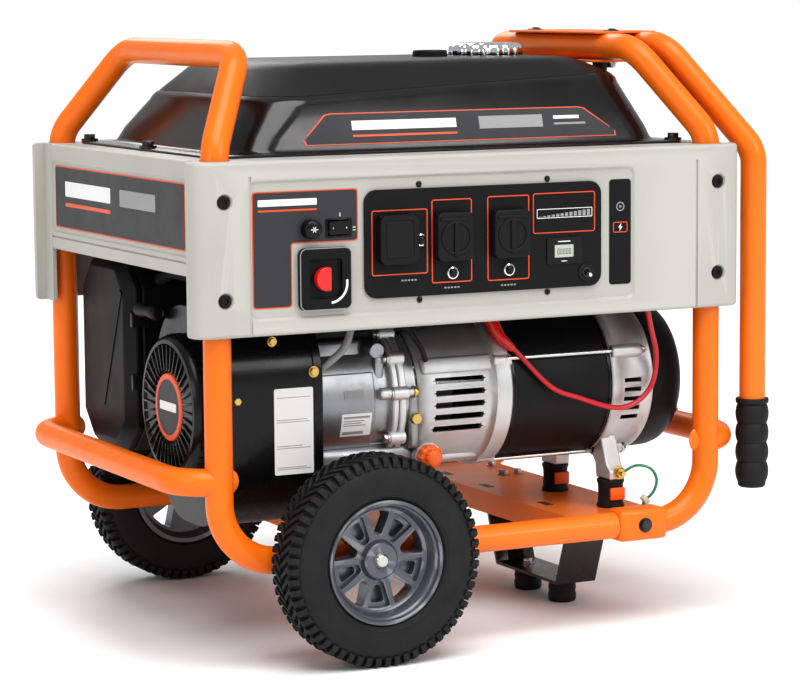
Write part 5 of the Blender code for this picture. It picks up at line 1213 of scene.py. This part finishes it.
def make_recoil():
    """The starter's cup with its ribs, vents, badge and screws, and the pull grip beside it."""
    face, seat = -0.328, -0.3003
    depth = seat - face
    cup = [(0, 0.0060), (0.0400, 0.0060), (0.0420, 0.0030), (0.0720, 0.0030), (0.0735, 0.0005),
           (0.0780, 0.0010), (0.0820, 0.0050), (0.0840, 0.0110), (0.0840, depth), (0.0800, depth),
           (0.0800, 0.0120), (0.0700, 0.0080), (0, 0.0100)]
    piece("recoil_shell", turned(cup, "X", SHAFT, 96, at=face), "gloss",
          replaces=["recoil_cover"])

    def spoke(near, far, half, start, end, edge, segments):
        return block((start, SHAFT_Y + near, SHAFT_Z - half), (end, SHAFT_Y + far, SHAFT_Z + half), edge,
                     segments)

    piece("recoil_ribs", spun(lambda: spoke(0.0430, 0.0725, 0.0013, face + 0.0002, face + 0.0060, 0.0006, 2),
                              36), "gloss")
    piece("recoil_side_vents",
          spun(lambda: spoke(0.0838, 0.0846, 0.0014, face + 0.0105, seat - 0.004, 0.0003, 1), 48), "plastic")
    ring = [(0.0325, 0.0012), (0.0385, 0.0016), (0.0395, 0.0030), (0.0395, 0.0062), (0.0325, 0.0062)]
    piece("recoil_badge_ring", turned(ring, "X", SHAFT, 64, ring=True, at=face), "line")
    badge = [(0, 0.0016), (0.0323, 0.0016), (0.0325, 0.0026), (0.0325, 0.0062), (0, 0.0062)]
    piece("recoil_badge", turned(badge, "X", SHAFT, 48, at=face), "decal")
    bar = rounded((SHAFT_Y - 0.0240, SHAFT_Z - 0.0040), (SHAFT_Y + 0.0240, SHAFT_Z + 0.0060), 0.0015, 3)
    piece("recoil_badge_bar", prism(bar, "X", face + 0.0010, face + 0.0018), "white")
    screws = []
    for k in range(3):
        screws += bolt("X", about_shaft(0.0900, math.radians(30 + 120 * k)), 0.009, -0.300, -0.005)
    piece("recoil_screws", screws, "black")
    x, y, z = -0.3093, -0.010, 0.385
    half = [(0, -0.031), (0.0060, -0.0305), (0.0085, -0.0270), (0.0088, -0.020), (0.0072, -0.006)]
    grip = half + [(0.0070, 0)] + [(radius, -along) for radius, along in half[::-1]]
    piece("starter_grip", turned(grip, "Y", (x, z), 28, at=y), "plastic", "pull",
          ["recoil_pull"])
    guide = [(0.0030, seat), (0.0085, seat), (0.0075, -0.3055), (0.0030, -0.3060)]
    piece("rope_guide", [turned(guide, "X", (y, z), 24, ring=True)], "gloss")


def make_air_box():
    """The air cleaner's box and lid, its clips and the breather hose."""
    y0, y1, z0, z1 = 0.045, 0.205, 0.205, 0.440
    x0, x1 = -0.315, -0.225
    corner = 0.032
    outline = [(y0 + corner, z0), (y1 - corner, z0), (y1, z0 + corner), (y1, z1 - corner), (y1 - corner, z1),
               (y0 + corner, z1), (y0, z1 - corner), (y0, z0 + corner)]
    box = piece("air_box", prism(outline, "X", x0 + 0.020, x1), "plastic",
                replaces=["air_cleaner"])
    soften(box, 0.004, 3)

    def inset(amount, x):
        cy, cz = (y0 + y1) / 2, (z0 + z1) / 2
        sy, sz = 1 - 2 * amount / (y1 - y0), 1 - 2 * amount / (z1 - z0)
        return [(x, cy + (y - cy) * sy, cz + (z - cz) * sz) for y, z in outline]

    lid = loft([inset(*level) for level in
                ((0.0, x0 + 0.0195), (0.0, x0 + 0.0120), (0.010, x0 + 0.0030), (0.014, x0), (0.050, x0))])
    soften(piece("air_box_lid", lid, "plastic"), 0.0025, 2)
    ridge = prism([(0.060, 0.400), (0.066, 0.404), (0.128, 0.262), (0.122, 0.258)], "X", x0 - 0.0010,
                  x0 + 0.002)
    piece("air_box_rib", ridge, "plastic")
    clips = [block((x0 + 0.005, y0 - 0.003, z), (x0 + 0.028, y0 + 0.004, z + 0.018), 0.0012)
             for z in (0.285, 0.360)]
    piece("air_box_clips", clips, "black")
    hose = [(-0.270, 0.050, 0.415), (-0.262, 0.020, 0.425), (-0.240, -0.020, 0.415), (-0.215, -0.060, 0.404)]
    piece("breather_hose", wire(hose, 0.0075), "rubber")


def arc_band(inner, outer, first, last, start, end, steps=12):
    """A curved plate about the shaft line, between two angles measured from the back."""
    def row(radius, angles):
        return [(SHAFT_Y + radius * math.cos(a), SHAFT_Z + radius * math.sin(a)) for a in angles]
    angles = [math.radians(first + (last - first) * step / steps) for step in range(steps + 1)]
    return prism(row(outer, angles) + row(inner, angles[::-1]), "X", start, end)


def make_crankcase():
    """A cast barrel with a bulged front, its bolted flange, sump, studs, blank labels, oil cap and plugs."""
    x0, x1 = -0.178, -0.0453
    front = -0.197
    # The block, barrel, bulge and webs take the darker copy of the cast: painted shade on the crankcase
    base = [block((x0, -0.176, 0.1668), (x1 - 0.014, -0.010, 0.332), 0.010, 3),
            block((x0 + 0.004, -0.187, 0.1668), (x1 - 0.004, -0.030, 0.232), 0.010, 3)]
    piece("crank_block", base, "cast_painted_shade", replaces=["crankcase"])
    piece("crank_barrel", rod("X", SHAFT, 0.0845, x0 + 0.0005, x1 - 0.001, 96, 0.003), "cast_painted_shade")
    bulge = piece("crank_bulge", arc_band(0.070, 0.0888, 156, 236, x0 + 0.001, -0.1035), "cast_painted_shade")
    soften(bulge, 0.0022, 3)
    rings = [turned([(0.070, start), (rim, start), (rim + 0.0015, start + 0.0015), (rim + 0.0015, shoulder),
                     (rim, end), (0.070, end)], "X", SHAFT, 96, ring=True) for rim, start, shoulder,
             end in ((0.0925, -0.0830, -0.0765, -0.0752), (0.0930, -0.0745, -0.0670, -0.0655))]
    piece("crank_flange", rings, "cast")
    lugs, bolts = [], []
    for angle in (35, 65, 95, 125, 148, 174, 208, 240, 275, 320):
        at = about_shaft(0.0925, math.radians(angle))
        lugs.append(rod("X", at, 0.0082, -0.0850, -0.0640, 20, 0.0012))
        bolts += bolt("X", at, 0.0095, -0.0850, -0.006)
    piece("crank_lugs", lugs, "cast")
    piece("crank_bolts", bolts, "steel")
    stud = (SHAFT_Y - 0.0900, SHAFT_Z + 0.010)
    piece("crank_stud_boss", [rod("X", stud, 0.0070, -0.100, -0.064, 24, 0.0015),
                              rod("X", stud, 0.0052, -0.064, -0.055, 20, 0.001)], "cast")
    piece("crank_stud_nut", bolt("X", stud, 0.0100, -0.0560, 0.006), "brass")
    webs = [block((x1 - 0.0140, -0.1945, 0.226), (x1 - 0.0006, -0.160, 0.290), 0.0045, 3),
            block((-0.1000, -0.1880, 0.3080), (-0.0880, -0.130, 0.3360), 0.0035, 2),
            block((x0 + 0.006, -0.1720, 0.332), (-0.110, -0.100, 0.356), 0.005, 3),
            rod("Y", (-0.096, 0.343), 0.0095, -0.186, -0.130, 24, 0.001)]
    piece("crank_webs", webs, "cast_painted_shade")
    ribs = [block((-0.0640, y0, z0), (x1 - 0.0004, y0 + 0.010, z0 + 0.0030), 0.0010, 1)
            for y0, z0 in ((-0.1890, 0.2965), (-0.1870, 0.3080), (-0.1835, 0.3190))]
    piece("crank_ribs", ribs, "cast")
    cover = block((x0 + 0.012, -0.1620, 0.3560), (-0.062, -0.060, 0.3760), 0.004, 2)
    piece("crank_top_cover", cover, "plastic")
    piece("blank_plate", arc_band(0.0885, 0.0893, 187, 205, -0.1470, -0.1085), "white")
    piece("blank_plate_small", arc_band(0.0885, 0.0892, 169.5, 176.0, -0.1440, -0.1190), "mid")
    rows = ((189.0, 190.6, -0.1110), (192.2, 192.9, -0.1180), (194.0, 194.7, -0.1210),
            (195.8, 196.5, -0.1160), (201.0, 203.4, -0.1180))
    piece("blank_plate_lines", [arc_band(0.0890, 0.0895, low, high, -0.1445, end) for low, high, end in rows],
          "mid")
    face, filler = front - GAP, (-0.036, 0.216)
    cap = [(0, -0.0170), (0.0085, -0.0168), (0.0100, -0.0155), (0.0105, -0.0100), (0.0140, -0.0090),
           (0.0150, -0.0075), (0.0150, -0.0010), (0.0142, 0), (0, 0)]
    piece("oil_cap_knob", turned(cap, "Y", filler, 60, scallop=0.10, lobes=10, at=face), "orange_plastic",
          "oil_cap", ["oil_filler_cap"], smooth=50)
    neck = [(0.0100, 0.0005), (0.0165, 0.0005), (0.0165, 0.020), (0.0100, 0.020)]
    piece("oil_neck", turned(neck, "Y", filler, 36, ring=True, at=face), "cast")
    piece("drain_plug", hexagon("Y", (-0.060, 0.180), 0.016, front - 0.008, front + 0.006), "orange_plastic")
    piece("brass_union", hexagon("Y", (-0.052, 0.262), 0.012, front - 0.004, front + 0.010), "brass")


def make_top_works():
    """The starter motor, hoses, wires and the heat shield under the covers, and the battery's lid."""
    starter = [rod("X", (-0.150, 0.384), 0.024, -0.120, -0.020, 40, 0.003),
               rod("X", (-0.150, 0.384), 0.020, -0.020, -0.008, 36, 0.002),
               rod("X", (-0.163, 0.415), 0.012, -0.115, -0.050, 28, 0.002)]
    piece("starter_motor", starter, "black")
    hose = [(-0.172, -0.198, 0.330), (-0.150, -0.206, 0.350), (-0.140, -0.206, 0.372),
            (-0.138, -0.200, 0.395)]
    piece("grey_hose", wire(hose, 0.0045), "mid")
    loom = [wire([(-0.120, -0.160, 0.410), (-0.075, -0.196, 0.380), (-0.052, -0.206, 0.350),
                  (-0.040, -0.200, 0.330)], 0.0032),
            wire([(-0.160, -0.150, 0.415), (-0.060, -0.190, 0.395), (0.010, -0.200, 0.385),
                  (0.090, -0.190, 0.390)], 0.0040),
            wire([(-0.020, -0.150, 0.420), (0.000, -0.185, 0.400), (0.020, -0.192, 0.378),
                  (0.034, -0.186, 0.366)], 0.0026)]
    piece("wire_loom", loom, "rubber")
    piece("loom_clips", [block((-0.012, -0.2005, 0.3835), (0.000, -0.1890, 0.3925), 0.001)], "steel")
    plate = piece("heat_shield", prism(rounded((-0.170, 0.386), (-0.020, 0.470), 0.012), "X", -0.060, 0.145),
                  "iron")
    soften(plate, 0.002, 2)
    # Black strips on the muffler stand in for its louvre openings: painted shade
    slots = [block((0.126, y, 0.405), (0.1275, y + 0.007, 0.470), 0.0005, 1)
             for y in (-0.002 + k * 0.014 for k in range(7))]
    piece("muffler_louvre_painted_shade", slots, "black")
    x, z = -0.074, 0.2615
    lid = piece("battery_lid",
                prism(rounded((x - 0.0745, 0.1265), (x + 0.0745, 0.2115), 0.004), "Z", z - 0.001, z + 0.008),
                "plastic")
    soften(lid, 0.0012, 2)
    posts = [rod("Z", (x + reach, 0.150), 0.007, z + 0.006, z + 0.016, 24, 0.001)
             for reach in (-0.055, 0.055)]
    piece("battery_posts", posts, "brass")


def side_vents(count, top, pitch, half, near, start, end):
    """Level cutters through both sides of a round casting."""
    slots = []
    for side in (-1, 1):
        y0, y1 = sorted((SHAFT_Y + side * near, SHAFT_Y + side * 0.110))
        for k in range(count):
            z = SHAFT_Z + top - k * pitch
            slots.append(block((start, y0, z - half), (end, y1, z + half)))
    return slots


# ---------------------------------------------------------------- alternator
def make_bell():
    """The bell between engine and alternator: a vented casting with four padded ears over a fan."""
    start, end = -0.045, 0.075
    profile = [(0.0700, start), (0.0820, start), (0.0860, start + 0.004), (0.0880, start + 0.012),
               (0.0880, end - 0.028), (0.0900, end - 0.024), (0.0950, end - 0.021), (0.0960, end - 0.018),
               (0.0960, end - 0.002), (0.0945, end), (0.0820, end), (0.0820, start + 0.006),
               (0.0700, start + 0.006)]
    bell = piece("bell_casting", turned(profile, "X", SHAFT, 96, ring=True), "cast",
                 replaces=["bell_housing"])
    slots = side_vents(6, 0.034, 0.0145, 0.0035, 0.060, start + 0.018, end - 0.032)
    for slot in slots:
        upright = [e for e in slot.edges if abs(e.verts[0].co.y - e.verts[1].co.y) > 0.01]
        bmesh.ops.bevel(slot, geom=upright, offset=0.0030, segments=3, affect="EDGES")
    carve(bell, slots)
    soften(bell, 0.0012, 2, 40)
    piece("bell_fan", rod("X", SHAFT, 0.076, start + 0.012, start + 0.050, 36, 0.002), "iron")
    pads = []
    for angle in BOLT_ANGLES:
        pad = block((start + 0.004, SHAFT_Y + 0.078, SHAFT_Z - 0.010),
                    (end - 0.022, SHAFT_Y + 0.0925, SHAFT_Z + 0.010), 0.004, 3)
        pads.append(around(pad, "X", SHAFT, angle))
        pads.append(rod("X", about_shaft(0.0885, angle), 0.0090, end - 0.022, end + 0.0020, 24, 0.001))
    piece("bell_pads", pads, "cast")


def make_stator():
    """The stator's can between two bands, clamped by four through bolts."""
    start, end = 0.0753, 0.2127
    profile = [(0.062, start), (0.0905, start), (STATOR_R, start + 0.0015), (STATOR_R, end - 0.0015),
               (0.0905, end), (0.062, end)]
    piece("stator_can", turned(profile, "X", SHAFT, 96, ring=True), "plastic",
          replaces=["stator"])
    rods, nuts = [], []
    for angle in BOLT_ANGLES:
        at = about_shaft(0.0960, angle)
        rods.append(rod("X", at, 0.0026, 0.070, 0.262, 14))
        nuts += bolt("X", at, 0.0085, 0.2545, 0.006)
    piece("through_bolts", rods, "steel")
    piece("through_bolt_nuts", nuts, "steel")
    band = [(0.0916, 0), (0.0928, 0), (0.0928, 0.0035), (0.0916, 0.0035)]
    piece("stator_bands", [turned(band, "X", SHAFT, 96, ring=True, at=x)
                           for x in (start + 0.001, end - 0.0045)], "gloss")


def make_rear():
    """The rear casting on its two legs, its ears, and the black end cover with its vents."""
    start, end = 0.213, 0.271
    profile = [(0.0860, start), (0.0925, start), (0.0940, start + 0.0015), (0.0940, start + 0.010),
               (0.0915, start + 0.014), (0.0905, end - 0.014), (0.0925, end - 0.010), (0.0930, end - 0.0015),
               (0.0915, end), (0.0129, end), (0.0129, end - 0.009), (0.0860, end - 0.009)]
    bracket = piece("rear_casting", turned(profile, "X", SHAFT, 96, ring=True), "cast",
                    replaces=["rear_bracket"])
    carve(bracket, side_vents(5, 0.004, 0.0115, 0.0026, 0.050, start + 0.018, end - 0.016))
    soften(bracket, 0.0010, 2, 40)
    outline = [(0.0505, 0.1656), (0.0845, 0.1656), (0.0845, 0.1760), (0.0760, 0.1840), (0.0600, 0.2230),
               (0.0280, 0.2050), (0.0480, 0.1840)]
    legs = [prism([(SHAFT_Y + side * y, z) for y, z in outline], "X", 0.214, 0.236) for side in (-1, 1)]
    soften(piece("rear_legs", legs, "cast"), 0.0025, 3)
    ears = [rod("X", about_shaft(0.0935, angle), 0.0080, start + 0.001, 0.2545, 24, 0.001)
            for angle in BOLT_ANGLES]
    piece("rear_ears", ears, "cast")
    seat = end + GAP
    cover = [(0, 0.3195), (0.0600, 0.3198), (0.0740, 0.3185), (0.0830, 0.3150), (0.0880, 0.3085),
             (0.0905, 0.3000), (0.0912, seat + 0.010), (0.0905, seat), (0.0860, seat), (0.0860, 0.3000),
             (0, 0.3120)]
    cap = piece("end_bell", turned(cover, "X", SHAFT, 96), "plastic",
                replaces=["alternator_end_cover"])
    carve(cap, spun(lambda: block((0.300, SHAFT_Y + 0.030, SHAFT_Z - 0.0028),
                                  (0.33, SHAFT_Y + 0.070, SHAFT_Z + 0.0028)), 10))
    soften(cap, 0.0008, 2, 40)
    screws = []
    for k in range(3):
        screws += bolt("X", about_shaft(0.078, math.radians(90 + 120 * k)), 0.007, 0.3165, 0.003)
    piece("end_bell_screws", screws, "steel")


def make_cables():
    """The red cable from its boot round the alternator to the panel, and the earth wire to the channel."""
    front = SHAFT_Y - STATOR_R - 0.012
    route = [(0.058, front + 0.036, 0.372), (0.065, front + 0.026, 0.352), (0.082, front + 0.016, 0.333),
             (0.123, front + 0.004, 0.289), (0.161, front, 0.273), (0.200, front, 0.260),
             (0.225, front, 0.258), (0.248, front, 0.268), (0.263, front, 0.287),
             (0.266, front - 0.002, 0.319), (0.253, front - 0.011, 0.353), (0.238, front - 0.022, 0.385),
             (0.212, front - 0.030, 0.425), (0.165, front - 0.030, 0.466), (0.128, -0.245, 0.472),
             (0.128, -0.2627, 0.472)]
    piece("red_cable", wire(route, 0.0032, 4), "cable", replaces=["battery_cable"])
    path = smooth_path([(0.0555, front + 0.040, 0.378), *route[:2], (0.074, front + 0.020, 0.341),
                        (0.083, front + 0.0155, 0.332)], 0.004)
    boot = [(point, 0.0090 - 0.0048 * (index / (len(path) - 1)) ** 1.3) for index,
            point in enumerate(path[:-1])]
    piece("red_boot", swept(boot), "red")
    pad_y = SHAFT_Y - 0.0675 - 0.017 - GAP
    route = [(0.230, pad_y, 0.1736), (0.243, pad_y - 0.012, 0.184), (0.260, pad_y - 0.018, 0.180),
             (0.268, pad_y - 0.020, 0.166), (0.264, pad_y - 0.018, 0.150), (0.254, pad_y - 0.013, 0.1393),
             (0.2535, pad_y - 0.012, 0.1335)]
    piece("earth_wire", wire(route, 0.0018, 3), "green", replaces=["ground_wire"])
    sleeve = moved(block((-0.006, -0.0035, -0.0035), (0.006, 0.0035, 0.0035), 0.0012),
                   Matrix.Translation((0.2555, pad_y - 0.0135, 0.1410)) @ Matrix.Rotation(0.9, 4, "Y"))
    piece("earth_terminals", [block((0.2480, pad_y - 0.018, 0.1313), (0.2600, pad_y - 0.006, 0.1345), 0.001),
                              sleeve], "clear")
    stud = (0.227, 0.1745)
    piece("earth_stud", bolt("Y", stud, 0.011, pad_y + GAP, -0.005)
          + [rod("Y", stud, 0.003, pad_y, pad_y - 0.011, 14)], "brass")


def swept(stations, sides=20):
    """A round skin through (point, radius) stations, closed at both ends."""
    rings = []
    for index, (point, radius) in enumerate(stations):
        before = stations[max(index - 1, 0)][0]
        after = stations[min(index + 1, len(stations) - 1)][0]
        along = (after - before).normalized()
        across = along.cross(Vector((0.0, 1.0, 0.0))).normalized()
        up = across.cross(along)
        angles = [2 * math.pi * k / sides for k in range(sides)]
        rings.append([point + radius * (math.cos(angle) * across + math.sin(angle) * up) for angle in angles])
    return loft(rings)


# ---------------------------------------------------------------- studio
def make_studio():
    floor_mat = surface("studio_floor", (0.90, 0.90, 0.90), 0.6, grain=40, bump=0.01, mottle=0.005)
    shape = turned([(0, 0.0), (6.0, 0.0), (90.0, 3.6)], "Z", (0, 0), 64)
    mesh = bpy.data.meshes.new("floor")
    shape.to_mesh(mesh)
    shape.free()
    floor = bpy.data.objects.new("studio_floor", mesh)
    bpy.context.scene.collection.objects.link(floor)
    floor.data.materials.append(floor_mat)
    world = bpy.context.scene.world or bpy.data.worlds.new("studio")
    bpy.context.scene.world = world
    world.use_nodes = True
    background = world.node_tree.nodes["Background"]
    background.inputs["Color"].default_value = (1.0, 1.0, 1.0, 1.0)
    background.inputs["Strength"].default_value = 0.42
    sun = bpy.data.lights.new("sky_panel", "SUN")
    sun.energy = 2.35
    sun.angle = math.radians(50)
    lamp = bpy.data.objects.new("sky_panel", sun)
    lamp.rotation_euler = Vector((0.10, 0.42, -1.0)).to_track_quat("-Z", "Y").to_euler()
    bpy.context.scene.collection.objects.link(lamp)
    lamps = (("key", (1.6, -3.4, 2.2), 1.6, 34.0), ("fill", (-3.2, -1.4, 1.6), 1.4, 14.0),
             ("rim", (0.6, 3.2, 2.6), 2.0, 30.0))
    for name, place, size, power in lamps:
        light = bpy.data.lights.new(name, "AREA")
        light.shape = "DISK"
        light.size = size
        light.energy = power
        lamp = bpy.data.objects.new(name, light)
        lamp.location = place
        lamp.rotation_euler = (Vector((0, 0, 0.35)) - Vector(place)).to_track_quat("-Z", "Y").to_euler()
        bpy.context.scene.collection.objects.link(lamp)
    bpy.context.scene.view_settings.view_transform = "Standard"
    bpy.context.scene.view_settings.look = "Medium High Contrast"


def make_camera():
    data = bpy.data.cameras.new("camera")
    data.sensor_width = 36.0
    data.lens = 133.32
    data.clip_end = 300.0
    camera = bpy.data.objects.new("camera", data)
    right = Vector((0.89190, -0.45216, -0.00806))
    up = Vector((0.06149, 0.10361, 0.99272))
    back = Vector((-0.44803, -0.88590, 0.12021))
    camera.matrix_world = Matrix(((right.x, up.x, back.x, -1.62686), (right.y, up.y, back.y, -3.24200),
                                  (right.z, up.z, back.z, 0.76346), (0, 0, 0, 1)))
    bpy.context.scene.collection.objects.link(camera)
    bpy.context.scene.camera = camera


def finish_kept_shapes():
    """The CAD shapes that stay as they are take a better finish."""
    for finish, nodes in (("orange", ("engine_channel", "alternator_channel")), ("black", ("leg_bracket",)),
                          ("cast", ("cylinder", "carburettor")), ("iron", ("muffler",)),
                          ("battery", ("battery",)), ("copper", ("rotor",)),
                          ("steel", ("crankshaft_and_flywheel",))):
        for node in nodes:
            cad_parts[node].data.materials[0] = M[finish]


make_camera()
make_studio()
finish_kept_shapes()
make_frame()
make_channels()
make_leg()
make_isolators()
for group, hand in FRONT_BACK:
    make_wheel(group, hand)
    make_axle(group, hand)
make_handle()
make_clamps()
for group, hand in FRONT_BACK:
    make_cover(group, hand)
for group, hand in LEFT_RIGHT:
    make_side_cover(group, hand)
make_left_decal()
make_switches()
make_fuel_knob()
make_outlets()
make_lids()
make_breakers()
make_meters()
make_strip()
make_tank()
make_blower()
make_recoil()
make_air_box()
make_crankcase()
make_top_works()
make_bell()
make_stator()
make_rear()
make_cables()
